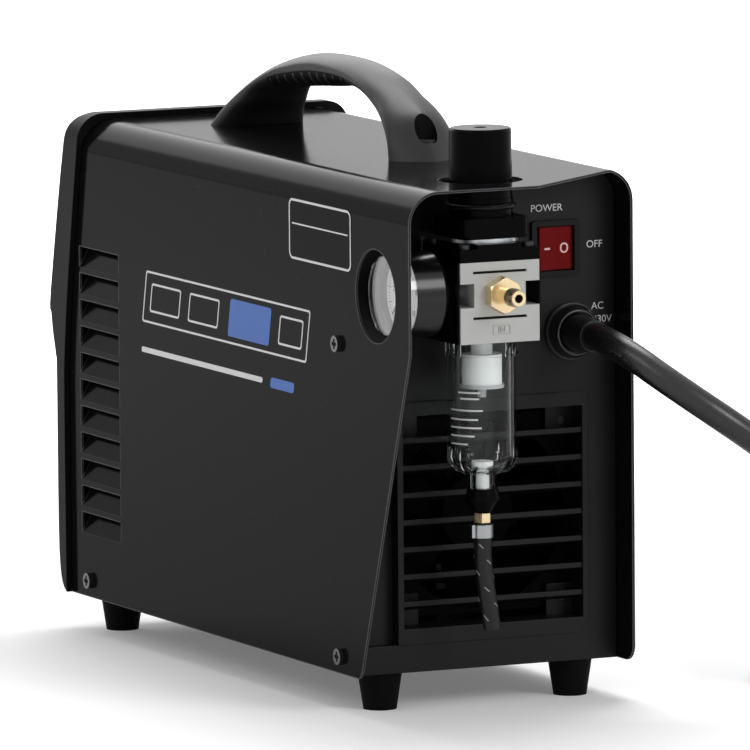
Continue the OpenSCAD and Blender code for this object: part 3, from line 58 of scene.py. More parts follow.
def makeCamera():
    turn, rise, roll = (math.radians(camera[k]) for k in ("azimuth", "elevation", "roll"))
    right = Vector((-math.cos(turn), math.sin(turn), 0))
    back = Vector((math.sin(turn) * math.cos(rise), math.cos(turn) * math.cos(rise), math.sin(rise)))
    up = back.cross(right)
    rolledRight = math.cos(roll) * right + math.sin(roll) * up
    rolledUp = -math.sin(roll) * right + math.cos(roll) * up
    data = bpy.data.cameras.new("camera")
    data.lens = camera["lens"]
    data.sensor_width = 36
    data.clip_start, data.clip_end = 0.1, 60
    cameraObject = bpy.data.objects.new("camera", data)
    cameraObject.matrix_world = Matrix((
        (rolledRight.x, rolledUp.x, back.x, camera["place"][0]),
        (rolledRight.y, rolledUp.y, back.y, camera["place"][1]),
        (rolledRight.z, rolledUp.z, back.z, camera["place"][2]),
        (0, 0, 0, 1),
    ))
    scene.collection.objects.link(cameraObject)
    scene.camera = cameraObject


makeCamera()
print("camera set")


def linearColour(hexColour):
    channels = [int(hexColour[i:i + 2], 16) / 255 for i in (1, 3, 5)]
    return tuple(c / 12.92 if c <= 0.04045 else ((c + 0.055) / 1.055) ** 2.4 for c in channels) + (1.0,)


def addNode(tree, kind, settings=None, links=None):
    node = tree.nodes.new(kind)
    for name, value in (settings or {}).items():
        if isinstance(name, int) or name in node.inputs:
            node.inputs[name].default_value = value
        else:
            setattr(node, name, value)
    for name, source in (links or {}).items():
        tree.links.new(source, node.inputs[name])
    return node


studio = {
    "paper": "#f6f6f6",
    "paperLift": (0.16, 1.0),  # what the eye, gloss and glass see the paper give of its own, near and far
    "liftInGloss": 0.35,  # share of the lift that a reflection sees
    "liftFrom": (0.5, 1.5),  # metres from the middle, where the lift starts and ends its rise
    "worldLight": 0.34,  # strength that lights the object
    "worldSeen": 1.0,  # strength that the eye, gloss and glass see
    "floorSize": 14.0,
    # name: place, target, width and height, strength in watts
    "lamps": {
        "topSoftbox": ((-0.5, -0.75, 2.3), (0, 0.05, 0.1), (1.5, 1.5), 42),
        "rearSoftbox": ((-1.3, 3.1, 1.9), (0, 0.1, 0.15), (1.3, 1.3), 38),
        "sideSoftbox": ((2.6, 1.4, 2.3), (0, 0, 0.15), (1.4, 1.4), 13),
        "frontSoftbox": ((-0.35, -2.6, 1.55), (0, 0, 0.2), (2.8, 1.3), 24),
    },
}


def seenDirectly(tree):
    path = addNode(tree, "ShaderNodeLightPath")
    first = addNode(tree, "ShaderNodeMath", {"operation": "MAXIMUM"},
                    {0: path.outputs["Is Camera Ray"], 1: path.outputs["Is Transmission Ray"]})
    return addNode(tree, "ShaderNodeMath", {"operation": "MAXIMUM"},
                   {0: first.outputs[0], 1: path.outputs["Is Glossy Ray"]}).outputs[0]


def makeStudio():
    world = bpy.data.worlds.new("studio")
    scene.world = world
    world.use_nodes = True
    tree = world.node_tree
    tree.nodes.clear()
    soft = addNode(tree, "ShaderNodeBackground", {"Color": (1, 1, 1, 1), "Strength": studio["worldLight"]})
    white = addNode(tree, "ShaderNodeBackground", {"Color": (1, 1, 1, 1), "Strength": studio["worldSeen"]})
    mix = addNode(tree, "ShaderNodeMixShader", None,
                  {0: seenDirectly(tree), 1: soft.outputs[0], 2: white.outputs[0]})
    addNode(tree, "ShaderNodeOutputWorld", None, {"Surface": mix.outputs[0]})
    for name, (place, target, size, power) in studio["lamps"].items():
        data = bpy.data.lights.new(name, "AREA")
        data.shape, data.energy = "RECTANGLE", power
        data.size, data.size_y = size
        lamp = bpy.data.objects.new(name, data)
        lamp.location = place
        lamp.rotation_euler = (Vector(target) - Vector(place)).to_track_quat("-Z", "Y").to_euler()
        scene.collection.objects.link(lamp)
    half = studio["floorSize"] / 2
    mesh = bpy.data.meshes.new("floor")
    mesh.from_pydata([(-half, -half, 0), (half, -half, 0), (half, half, 0), (-half, half, 0)], [], [(0, 1, 2, 3)])
    floor = bpy.data.objects.new("floor", mesh)
    scene.collection.objects.link(floor)
    material = bpy.data.materials.new("studioPaper")
    material.use_nodes = True
    tree = material.node_tree
    tree.nodes.clear()
    paper = addNode(tree, "ShaderNodeBsdfDiffuse", {"Color": linearColour(studio["paper"])})
    place = addNode(tree, "ShaderNodeTexCoord")
    away = addNode(tree, "ShaderNodeVectorMath", {"operation": "LENGTH"}, {0: place.outputs["Object"]})
    rise = addNode(tree, "ShaderNodeMapRange", {
        "interpolation_type": "SMOOTHSTEP", "From Min": studio["liftFrom"][0], "From Max": studio["liftFrom"][1],
        "To Min": studio["paperLift"][0], "To Max": studio["paperLift"][1]}, {"Value": away.outputs["Value"]})
    path = addNode(tree, "ShaderNodeLightPath")
    share = addNode(tree, "ShaderNodeMapRange", {"To Min": 1.0, "To Max": studio["liftInGloss"]},
                    {"Value": path.outputs["Is Glossy Ray"]})
    seen = addNode(tree, "ShaderNodeMath", {"operation": "MULTIPLY"}, {0: seenDirectly(tree), 1: share.outputs[0]})
    lift = addNode(tree, "ShaderNodeMath", {"operation": "MULTIPLY"}, {0: seen.outputs[0], 1: rise.outputs[0]})
    glow = addNode(tree, "ShaderNodeEmission", {"Color": (1, 1, 1, 1)}, {"Strength": lift.outputs[0]})
    both = addNode(tree, "ShaderNodeAddShader", None, {0: paper.outputs[0], 1: glow.outputs[0]})
    addNode(tree, "ShaderNodeOutputMaterial", None, {"Surface": both.outputs[0]})
    mesh.materials.append(material)


makeStudio()
scene.view_settings.view_transform = "Standard"
print("studio set")


def newMaterial(name, colour, roughness, metallic=0.0, **sockets):
    material = bpy.data.materials.new(name)
    material.use_nodes = True
    tree = material.node_tree
    shader = tree.nodes["Principled BSDF"]
    shader.inputs["Base Color"].default_value = linearColour(colour)
    shader.inputs["Roughness"].default_value = roughness
    shader.inputs["Metallic"].default_value = metallic
    for socket, value in sockets.items():
        shader.inputs[socket.replace("_", " ")].default_value = value
    return material, tree, shader


def addGrain(tree, shader, grainMm, heightMm, edgeMm=0.0, stretch=(1, 1, 1)):
    place = addNode(tree, "ShaderNodeTexCoord")
    mapping = addNode(tree, "ShaderNodeMapping", {"Scale": stretch}, {"Vector": place.outputs["Object"]})
    noise = addNode(tree, "ShaderNodeTexNoise", {"Scale": 1 / (grainMm * mm), "Detail": 2.0},
                    {"Vector": mapping.outputs[0]})
    bump = addNode(tree, "ShaderNodeBump", {"Strength": 1.0, "Distance": heightMm * mm},
                   {"Height": noise.outputs["Fac"]})
    if edgeMm:
        edge = addNode(tree, "ShaderNodeBevel", {"samples": 4, "Radius": edgeMm * mm})
        tree.links.new(edge.outputs[0], bump.inputs["Normal"])
    tree.links.new(bump.outputs[0], shader.inputs["Normal"])
    return noise


def shadeByNoise(tree, shader, noise, low, high):
    spread = addNode(tree, "ShaderNodeMapRange", {"From Min": 0.3, "From Max": 0.7, "To Min": low, "To Max": high},
                     {"Value": noise.outputs["Fac"]})
    tree.links.new(spread.outputs[0], shader.inputs["Roughness"])


def mixColours(tree, factor, first, second):
    mix = addNode(tree, "ShaderNodeMix", {"data_type": "RGBA"}, {"Factor": factor})
    for socket, colour in ((mix.inputs[6], first), (mix.inputs[7], second)):
        if isinstance(colour, str):
            socket.default_value = linearColour(colour)
        else:
            tree.links.new(colour, socket)
    return mix.outputs[2]


def addSpecks(tree, shader, ground, speck, apartMm, size):
    place = addNode(tree, "ShaderNodeTexCoord")
    cells = addNode(tree, "ShaderNodeTexVoronoi", {"Scale": 1 / (apartMm * mm), "Randomness": 1.0},
                    {"Vector": place.outputs["Object"]})
    near = addNode(tree, "ShaderNodeMapRange", {
        "From Min": size * 0.6, "From Max": size, "To Min": 1.0, "To Max": 0.0}, {"Value": cells.outputs["Distance"]})
    tree.links.new(mixColours(tree, near.outputs[0], ground, speck), shader.inputs["Base Color"])


def lightenRims(tree, shader, rim, widthMm, most):
    edge = addNode(tree, "ShaderNodeBevel", {"samples": 6, "Radius": widthMm * mm})
    flat = addNode(tree, "ShaderNodeNewGeometry")
    turn = addNode(tree, "ShaderNodeVectorMath", {"operation": "DOT_PRODUCT"},
                   {0: edge.outputs[0], 1: flat.outputs["True Normal"]})
    # the cosine between the rounded and the true normal says how near a bend is
    near = addNode(tree, "ShaderNodeMapRange", {
        "From Min": 0.985, "From Max": 0.86, "To Min": 0.0, "To Max": most}, {"Value": turn.outputs["Value"]})
    # painted highlight: the base colour turns towards the rim colour near bends and cut edges
    socket = shader.inputs["Base Color"]
    tree.links.new(mixColours(tree, near.outputs[0], socket.links[0].from_socket, rim), socket)


materials = {}

# Powder-coated steel: black and glossy, nearly a mirror at a low angle, with a faint orange peel and a few pale
# specks; a painted highlight makes the colour lighter where the sheet bends or ends
material, tree, shader = newMaterial("powderCoatedSteel", "#0f0f10", 0.12, 0.0, Specular_IOR_Level=0.022)
noise = addGrain(tree, shader, 1.6, 0.003, edgeMm=0.8)
shadeByNoise(tree, shader, noise, 0.1, 0.15)
addSpecks(tree, shader, "#0f0f10", "#4a4a50", 8, 0.045)
lightenRims(tree, shader, "#7c7c80", 1.1, 0.85)
materials["powder_coat_charcoal"] = material

# The tray's coat is flatter
material, tree, shader = newMaterial("powderCoatedTray", "#0b0b0c", 0.4, 0.0, Specular_IOR_Level=0.14)
addGrain(tree, shader, 0.9, 0.004, edgeMm=0.4)
materials["powder_coat_black"] = material

# Moulded ABS with a spark-eroded grain: a soft, slightly uneven sheen
for slotName, colour, level in (("moulded_plastic", "#121213", 0.05), ("panel_plastic", "#0e0e0f", 0.2)):
    material, tree, shader = newMaterial("mouldedAbs_" + slotName, colour, 0.42, 0.0, Specular_IOR_Level=level)
    noise = addGrain(tree, shader, 0.35, 0.01, edgeMm=0.6)
    shadeByNoise(tree, shader, noise, 0.36, 0.48)
    materials[slotName] = material

# Moulded rubber of the feet: dull, a little dusty
material, tree, shader = newMaterial("mouldedRubber", "#060607", 0.7, 0.0, Specular_IOR_Level=0.08)
addGrain(tree, shader, 1.2, 0.02, edgeMm=0.5)
materials["rubber_black"] = material

# Zinc-plated steel: bright, faintly blue, with fine scratches
material, tree, shader = newMaterial("zincPlatedSteel", "#b9bcc0", 0.3, 1.0)
noise = addGrain(tree, shader, 0.25, 0.003, edgeMm=0.25)
shadeByNoise(tree, shader, noise, 0.22, 0.38)
materials["zinc_steel"] = material

# Black oxide on hardened screws: dark and oily, glossy on the edges
material, tree, shader = newMaterial("blackOxideSteel", "#1a1a1b", 0.24, 0.0, Specular_IOR_Level=0.9)
addGrain(tree, shader, 0.3, 0.003, edgeMm=0.3)
materials["black_oxide"] = material

# Glass-filled nylon of the handle: dark grey, satin, with a fine even grain
material, tree, shader = newMaterial("mouldedNylonHandle", "#252527", 0.42, 0.0, Specular_IOR_Level=0.28)
noise = addGrain(tree, shader, 0.35, 0.008)
shadeByNoise(tree, shader, noise, 0.36, 0.46)
materials["handle_plastic"] = material

# Moulded nylon and painted small parts: fine grain, and rounded edges that catch the light
for slotName, colour, roughness, level in (
        ("switch_black", "#0a0a0b", 0.4, 0.15), ("regulator_black", "#060607", 0.22, 0.035),
        ("ring_grey", "#101011", 0.3, 0.15), ("gauge_black", "#0c0c0d", 0.2, 0.35),
        ("fan_black", "#050506", 0.6, 0.05), ("needle_black", "#111111", 0.5, 0.3),
        ("connector_black", "#111112", 0.42, 0.3), ("gland_nylon", "#19191a", 0.26, 0.5),
        ("control_knob", "#19191b", 0.34, 0.4), ("transformer_core", "#1b1c1e", 0.6, 0.2)):
    material, tree, shader = newMaterial("mouldedNylon_" + slotName, colour, roughness, 0.0,
                                         Specular_IOR_Level=level)
    addGrain(tree, shader, 0.3, 0.005, edgeMm=0.4)
    materials[slotName] = material

# Red polycarbonate of the rocker: deep, glossy and slightly clear
material, tree, shader = newMaterial("mouldedRedPolycarbonate", "#6f0608", 0.2, Specular_IOR_Level=0.06)
addGrain(tree, shader, 2.0, 0.002, edgeMm=0.3)
materials["rocker_red"] = material

# Painted die-cast zinc: light silver-grey and satin, with a soft casting texture
material, tree, shader = newMaterial("paintedDieCast", "#b4b5b3", 0.42, 0.15)
addGrain(tree, shader, 0.5, 0.01, edgeMm=0.45)
materials["die_cast_silver"] = material

# Nickel plate and the clamp's bright steel
for slotName, colour, roughness in (("nickel", "#c9c7c2", 0.2), ("clamp_steel", "#a0a2a4", 0.28)):
    material, tree, shader = newMaterial("platedMetal_" + slotName, colour, roughness, 1.0)
    addGrain(tree, shader, 0.6, 0.003, edgeMm=0.2)
    materials[slotName] = material

# Turned brass: pale and bright, with fine lathe rings
for slotName in ("brass_fitting", "connector_brass"):
    material, tree, shader = newMaterial("turnedBrass_" + slotName, "#e2cda4", 0.26, 1.0)
    noise = addGrain(tree, shader, 0.5, 0.004, edgeMm=0.25, stretch=(1, 3, 1))
    shadeByNoise(tree, shader, noise, 0.2, 0.34)
    materials[slotName] = material

# Clear polycarbonate of the bowl: thin, water clear, with faintly wavy moulded walls; the
# index is low because each of its four faces would otherwise send the white studio back
material, tree, shader = newMaterial("clearPolycarbonate", "#f7fafa", 0.01, Transmission_Weight=1.0, IOR=1.2)
addGrain(tree, shader, 8.0, 0.02)
materials["clear_plastic"] = material

# Clear acrylic lens of the gauge: flat, glossy, a little more mirror than the bowl
material, tree, shader = newMaterial("clearAcrylicLens", "#fbfcfc", 0.02, Transmission_Weight=1.0, IOR=1.49)
addGrain(tree, shader, 9.0, 0.01)
materials["gaugeLens"] = material

# White sintered polyethylene: chalky, with open grains
material, tree, shader = newMaterial("sinteredPolyethylene", "#ededeb", 0.7)
addGrain(tree, shader, 0.4, 0.05)
materials["filter_white"] = material

# Printed aluminium dial: white enamel, smooth
material, tree, shader = newMaterial("printedDial", "#f4f3f0", 0.5)
addGrain(tree, shader, 0.8, 0.004)
materials["dial_white"] = material

# Acetal of the baffle: milky
material, tree, shader = newMaterial("mouldedAcetal", "#d5d7d8", 0.35, Transmission_Weight=0.3)
addGrain(tree, shader, 0.6, 0.01)
materials["baffle_plastic"] = material

# Parts inside the case, that show only through the slots
for slotName, name, colour, roughness, metallic in (
        ("board_green", "solderMask", "#143a26", 0.4, 0.0),
        ("heat_sink_aluminium", "anodisedAluminium", "#1c1d1f", 0.45, 0.6),
        ("capacitor_sleeve", "shrinkSleeve", "#14161c", 0.3, 0.0),
        ("air_hose_blue", "polyurethaneHose", "#1d3c66", 0.35, 0.0)):
    material, tree, shader = newMaterial(name, colour, roughness, metallic)
    addGrain(tree, shader, 0.8, 0.01)
    materials[slotName] = material

# Tinted polycarbonate lens caps, clear and glossy: green, amber and red from one side to the other
material, tree, shader = newMaterial("tintedLens", "#3f9a4a", 0.15, Transmission_Weight=0.5)
addGrain(tree, shader, 1.5, 0.004)
place = addNode(tree, "ShaderNodeTexCoord")
split = addNode(tree, "ShaderNodeSeparateXYZ", None, {0: place.outputs["Object"]})
across = addNode(tree, "ShaderNodeMapRange", {"From Min": -24 * mm, "From Max": 24 * mm},
                 {"Value": split.outputs["X"]})
tint = addNode(tree, "ShaderNodeValToRGB", None, {"Fac": across.outputs[0]})
tint.color_ramp.interpolation = "CONSTANT"
tint.color_ramp.elements[0].color = linearColour("#2f9a3f")
tint.color_ramp.elements[1].position = 0.667
tint.color_ramp.elements[1].color = linearColour("#b3201c")
tint.color_ramp.elements.new(0.333).color = linearColour("#c98a1c")
tree.links.new(tint.outputs[0], shader.inputs["Base Color"])
materials["indicator_lens"] = material

# Rubber sheath of the lead: dark, dull, with the fine lines of its extrusion
for slotName, colour, roughness in (("lead_rubber", "#111112", 0.28), ("plug_rubber", "#131314", 0.5)):
    material, tree, shader = newMaterial("extrudedRubber_" + slotName, colour, roughness)
    noise = addGrain(tree, shader, 0.7, 0.015)
    shadeByNoise(tree, shader, noise, roughness - 0.05, roughness + 0.07)
    materials[slotName] = material

# Hose of black braid under a clear skin: yarns about 0.9 mm wide
material, tree, shader = newMaterial("braidedHose", "#0e0e0f", 0.4, 0.0, Specular_IOR_Level=0.3)
addGrain(tree, shader, 0.9, 0.12)
materials["hose_rubber"] = material

# Screen-printed ink, and the light yarn of the hose: opaque, a trace proud of what is under it, slightly uneven
for slotName, colour in (("inkWhite", "#dcdcdc"), ("inkBlue", "#2f62b5"), ("inkPink", "#f0c9c6"),
                         ("inkBlack", "#101011"), ("yarnGrey", "#83837f")):
    material, tree, shader = newMaterial("screenPrint_" + slotName, colour, 0.5)
    addGrain(tree, shader, 0.5, 0.006)
    materials[slotName] = material

# Painted shade: the same nylon made near black inside the screw recesses, where no light reaches; also under the
# handle's ribs and on the body's groove floors
material, tree, shader = newMaterial("paintedShadeNylon", "#070708", 0.6, 0.0, Specular_IOR_Level=0.1)
addGrain(tree, shader, 0.35, 0.008)
materials["paintedShadeNylon"] = material

# Film of the side label: black, smoother than the paint under it
material, tree, shader = newMaterial("labelFilm", "#09090a", 0.16, 0.0, Specular_IOR_Level=0.02)
addGrain(tree, shader, 3.0, 0.004)
materials["labelFilm"] = material

# Painted shade: small zinc screws that sit in the shade, made dark grey
material, tree, shader = newMaterial("zincPaintedShade", "#3c3d3f", 0.4, 1.0)
addGrain(tree, shader, 0.3, 0.003, edgeMm=0.25)
materials["zincPaintedShade"] = material

slotOf = {part["node"]: part["material_slot"] for part in frame["record"]["subparts"]}
# screws in shaded places take the dark zinc of painted shade
shadedScrews = ("fan_screws", "bracket_screws", "bonnet_screws", "handle_screws")


def dressNode(name):
    node = nodes[name]
    node.data.materials.clear()
    finish = "zincPaintedShade" if name in shadedScrews else "gaugeLens" if name == "gauge_cap" else slotOf[name]
    node.data.materials.append(materials[finish])
    node.data.shade_smooth()
    node.data.set_sharp_from_angle(angle=math.radians(32))


for name in nodes:
    dressNode(name)
print("materials set")


def faceFrame(origin, across, up):
    across, up = Vector(across).normalized(), Vector(up).normalized()
    turned = Matrix((across, up, across.cross(up))).transposed().to_4x4()
    turned.translation = Vector(origin) * mm
    return turned


def newPiece(name, mesh, material, body="machine", sharp=32):
    mesh.materials.append(material)
    mesh.shade_smooth()
    mesh.set_sharp_from_angle(angle=math.radians(sharp))
    piece = bpy.data.objects.new(name, mesh)
    scene.collection.objects.link(piece)
    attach(piece, body)
    return piece


def roundedOutline(width, height, radius, steps=6, lean=0.0, middle=(0, 0)):
    points = []
    for sx, sy, first in ((1, 1, 0), (-1, 1, 90), (-1, -1, 180), (1, -1, 270)):
        for i in range(steps + 1):
            turn = math.radians(first + 90 * i / steps)
            u = sx * (width / 2 - radius) + radius * math.cos(turn)
            v = sy * (height / 2 - radius) + radius * math.sin(turn)
            points.append((u + lean * v + middle[0], v + middle[1]))
    return points


def addSlab(build, place, outline, low, high, inner=None):
    def ringOf(points, height):
        return [build.verts.new(place @ Vector((u * mm, v * mm, height * mm))) for u, v in points]

    bottom, top = ringOf(outline, low), ringOf(outline, high)
    count = len(outline)
    pairs = [(i, (i + 1) % count) for i in range(count)]
    for i, j in pairs:
        build.faces.new((bottom[i], bottom[j], top[j], top[i]))
    if inner is None:
        build.faces.new(top)
        build.faces.new(bottom[::-1])
        return
    innerBottom, innerTop = ringOf(inner, low), ringOf(inner, high)
    for i, j in pairs:
        build.faces.new((top[i], top[j], innerTop[j], innerTop[i]))
        build.faces.new((innerTop[i], innerTop[j], innerBottom[j], innerBottom[i]))
        build.faces.new((innerBottom[i], innerBottom[j], bottom[j], bottom[i]))


def bridgeRings(build, rings, closed=True):
    count = len(rings[0])
    for a, b in zip(rings, rings[1:]):
        for k in range(count if closed else count - 1):
            j = (k + 1) % count
            build.faces.new((a[k], a[j], b[j], b[k]))
    if closed:
        build.faces.new(rings[0])
        build.faces.new(rings[-1][::-1])


def alongSpline(rows, share):
    whole = share * (len(rows) - 1)
    i = min(int(whole), len(rows) - 2)
    u = whole - i
    near = (rows[max(0, min(len(rows) - 1, k))] for k in (i - 1, i, i + 1, i + 2))
    return [0.5 * (2 * b + (c - a) * u + (2 * a - 5 * b + 4 * c - d) * u * u + (3 * b - a - 3 * c + d) * u ** 3)
            for a, b, c, d in zip(*near)]


def meshOf(name, build):
    bmesh.ops.recalc_face_normals(build, faces=build.faces)
    mesh = bpy.data.meshes.new(name)
    build.to_mesh(mesh)
    build.free()
    return mesh


lead = {
    "diameter": 13 * mm,
    "exit": (-44, 154.6, 171.5),  # inside the strain relief
    "route": [
        (-44, 168, 171.5), (-44.9, 177.9, 170.2), (-47.4, 187.5, 167.4), (-51.6, 196.5, 163.1), (-57.3, 204.6, 157.4),
        (-64.4, 211.7, 151.1), (-72.5, 217.4, 144.5), (-81.5, 221.6, 137.7), (-91.1, 224.1, 130.7),
        (-101, 225, 123.5), (-112, 225, 114.9), (-123, 225, 105.2), (-134, 225, 94.8), (-145, 225, 84.2),
        (-155.5, 225, 73.7),
    ],
    # from where the coil starts
    "landing": [(39.6, 0, 16.6), (32.9, 0, 10.8), (22.8, 0, 4.9), (11.6, 0, 1.2), (0, 0, 0)],
    "coilCentre": (-217.5, 154.4, 6.65),
    "coilDiameter": 130,
    "turns": 4.29,
    "layers": 4,
    "climb": 0.5,  # turns between one layer and the next
    "step": 16,  # mm from one turn to the next in a layer
    "layerHeight": 13.7,
    "ringsPerTurn": 24,
    "tailFlat": 26,  # mm of lead after the coil, level and then rising to the plug
    "tailUp": 30,
    "plugRise": 10.7,  # degrees
}


def coilPoints():
    run = (lead["turns"] - (lead["layers"] - 1) * lead["climb"]) / lead["layers"]
    outer = lead["coilDiameter"] / 2 + run * lead["step"] / 2
    inner = outer - run * lead["step"]
    count = math.ceil(lead["ringsPerTurn"] * lead["turns"])
    points = []
    for i in range(count + 1):
        t = lead["turns"] * i / count
        layer = min(lead["layers"] - 1, math.floor(t / (run + lead["climb"])))
        into = t - layer * (run + lead["climb"])
        share = min(1, into / run)
        radius = outer + (inner - outer) * share if layer % 2 == 0 else inner + (outer - inner) * share
        drop = max(0, (into - run) / lead["climb"])
        angle = math.radians(90) + 2 * math.pi * t
        cx, cy, cz = lead["coilCentre"]
        points.append(Vector((cx + radius * math.cos(angle), cy + radius * math.sin(angle),
                              cz + lead["layerHeight"] * (lead["layers"] - 1 - layer - drop))))
    return points


def splineCurve(name, points, diameter, material):
    data = bpy.data.curves.new(name, "CURVE")
    data.dimensions = "3D"
    data.bevel_depth = diameter / 2
    data.bevel_resolution = 12
    data.use_fill_caps = True
    data.resolution_u = 8
    spline = data.splines.new("BEZIER")
    spline.bezier_points.add(len(points) - 1)
    for knot, point in zip(spline.bezier_points, points):
        knot.co = point
        knot.handle_left_type = knot.handle_right_type = "AUTO"
    data.materials.append(material)
    curve = bpy.data.objects.new(name, data)
    scene.collection.objects.link(curve)
    return curve


def makeLead():
    coil = coilPoints()
    start = coil[0] + Vector((lead["diameter"] / mm, 0, 0))
    flat = coil[-1] - coil[-2]
    flat.z = 0
    flat.normalize()
    rise = math.radians(lead["plugRise"])
    exitDirection = Vector((flat.x * math.cos(rise), flat.y * math.cos(rise), math.sin(rise)))
    level = coil[-1] + lead["tailFlat"] * flat
    end = level + lead["tailUp"] * exitDirection
    free = [Vector(lead["exit"])] + [Vector(p) for p in lead["route"]] + [start + Vector(p) for p in lead["landing"]]
    points = [p * mm for p in free + coil + [level, end]]
    curve = splineCurve("mainsLead", points, lead["diameter"], materials["lead_rubber"])
    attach(curve, "machine")
    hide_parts("mains_lead", "lead_coil")


makeLead()

hose = {
    "diameter": 8.2 * mm,
    "top": (15, 169, 89.4),
    "route": [(0, 0, 0), (0, 0, -8), (0, 0, -16), (-0.4, 0.6, -24), (-1.2, 1.2, -32), (-2.2, 1.8, -40),
              (-3.4, 2.2, -49.4)],
    "dashes": 15,
    "dashFrom": 0.2,  # shares of the hose that the dashes start on
    "dashSpan": 0.78,
    "dashTurn": (137, 40),  # degrees from one dash to the next, and of the first
    "dashStep": (0.014, 0.16),  # share and radians between the rows of a dash
    "dashRows": 4,
    "dashWide": 0.6 * mm,
    "dashHigh": 0.12,
}


def makeHose():
    points = [(Vector(hose["top"]) + Vector(p)) * mm for p in hose["route"]]
    curve = splineCurve("drainHose", points, hose["diameter"], materials["hose_rubber"])
    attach(curve, "machine")
    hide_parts("drain_hose")
    # the light yarn of the braid comes to the surface in short dashes, a third of the way round from each other
    build = bmesh.new()
    for i in range(hose["dashes"]):
        share = hose["dashFrom"] + hose["dashSpan"] * i / hose["dashes"]
        turn = math.radians(hose["dashTurn"][0] * i + hose["dashTurn"][1])
        rows = []
        for k in range(hose["dashRows"]):
            at, angle = share + hose["dashStep"][0] * k, turn + hose["dashStep"][1] * k
            middle = Vector(alongSpline(points, at))
            out = Vector((math.cos(angle), math.sin(angle), 0))
            side = Vector((-math.sin(angle), math.cos(angle), 0.5)).normalized() * hose["dashWide"] / 2
            row = []
            for rise, way in ((0, -1), (0, 1), (hose["dashHigh"], 1), (hose["dashHigh"], -1)):
                row.append(build.verts.new(middle + out * (hose["diameter"] / 2 + rise * mm) + side * way))
            rows.append(row)
        bridgeRings(build, rows)
    dashes = newPiece("hoseYarnDashes", meshOf("hoseYarnDashes", build), materials["yarnGrey"])


makeHose()
print("lead and hose set")


def addWords(name, words, capHeight, place, material, thick=0.06):
    data = bpy.data.curves.new(name, "FONT")
    data.body = words
    data.size = capHeight / 0.7 * mm  # the font's capitals are 0.7 of its size
    data.extrude = thick / 2 * mm
    data.align_x, data.align_y = "CENTER", "CENTER"
    data.materials.append(material)
    piece = bpy.data.objects.new(name, data)
    piece.matrix_world = place @ Matrix.Translation((0, 0, thick / 2 * mm))
    scene.collection.objects.link(piece)
    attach(piece, "machine")


handle = {
    "middle": -17,  # mm along the machine
    "half": 107,
    "height": 41,
    "footHalf": 23.5,
    "base": 247.5,
    # crown, edge and underside as shares of the half length and of the height, half width, fullness of the crown
    "stations": [
        (-1.00, 0.00, -0.89, 0.00, -0.765, 0.00, 1.00, 0.9), (-0.935, 0.195, -0.835, 0.17, -0.70, 0.18, 0.89, 0.9),
        (-0.84, 0.40, -0.765, 0.31, -0.625, 0.31, 0.80, 0.95), (-0.70, 0.60, -0.61, 0.54, -0.57, 0.44, 0.68, 1.0),
        (-0.54, 0.765, -0.435, 0.715, -0.46, 0.52, 0.60, 1.1), (-0.365, 0.89, -0.285, 0.80, -0.29, 0.585, 0.56, 1.15),
        (-0.17, 0.975, -0.095, 0.87, -0.095, 0.635, 0.54, 1.2), (0.02, 1.00, 0.075, 0.885, 0.075, 0.67, 0.53, 1.2),
        (0.235, 0.985, 0.285, 0.85, 0.25, 0.71, 0.53, 1.2), (0.46, 0.89, 0.49, 0.75, 0.41, 0.68, 0.54, 1.15),
        (0.635, 0.755, 0.635, 0.60, 0.535, 0.59, 0.56, 1.1), (0.775, 0.61, 0.74, 0.485, 0.63, 0.49, 0.62, 1.0),
        (0.87, 0.47, 0.81, 0.34, 0.72, 0.35, 0.68, 0.9), (0.94, 0.23, 0.85, 0.20, 0.785, 0.17, 0.72, 0.85),
        (1.00, 0.00, 0.875, 0.00, 0.815, 0.00, 0.75, 0.85)],
    "along": 112,
    "around": 56,
    "underFull": 0.6,  # 1 is a round underside, less is boxier
    "recess": (10.7, (-113, 79), 6),  # diameter, places along the machine, floor above the cover
    "ribs": 10,
    "ribsFrom": 0.285,  # shares of the arch
    "ribsTo": 0.57,
    "ribHigh": 1.0,
    "ribWide": 0.0085,
    # share of half the width, and of the height, round a rib's section
    "ribSection": [(-1, -0.6), (-0.75, 0.5), (-0.35, 1), (0.35, 1), (0.75, 0.5), (1, -0.6)],
    "ribSweep": (-14, -152, 24),  # degrees where a rib starts, degrees it runs, and steps
    "bandSweep": (-13, -154, 30),
    "bandSpare": 0.012,
    "bandSteps": 40,
    "bandHigh": 0.12,
}


def handlePoint(share, angle, out=0.0):
    crownY, crownZ, edgeY, edgeZ, underY, underZ, halfWide, full = alongSpline(handle["stations"], share)
    across, rise = math.cos(angle), math.sin(angle)
    power = 1.6 / full / 1.2
    if rise < 0:
        k, wide = abs(rise) ** 0.85, abs(across) ** handle["underFull"]
        y, z = edgeY + (underY - edgeY) * k, edgeZ + (underZ - edgeZ) * k
    else:
        k, wide = rise ** power, abs(across) ** power
        y, z = edgeY + (crownY - edgeY) * k, edgeZ + (crownZ - edgeZ) * k
    x = math.copysign(wide, across) * halfWide * handle["footHalf"]
    point = Vector((x, handle["middle"] + y * handle["half"], handle["base"] + max(0, z * handle["height"])))
    if out:
        middle = Vector((0, handle["middle"] + edgeY * handle["half"], handle["base"] + edgeZ * handle["height"]))
        point += (point - middle).normalized() * out
    return point * mm


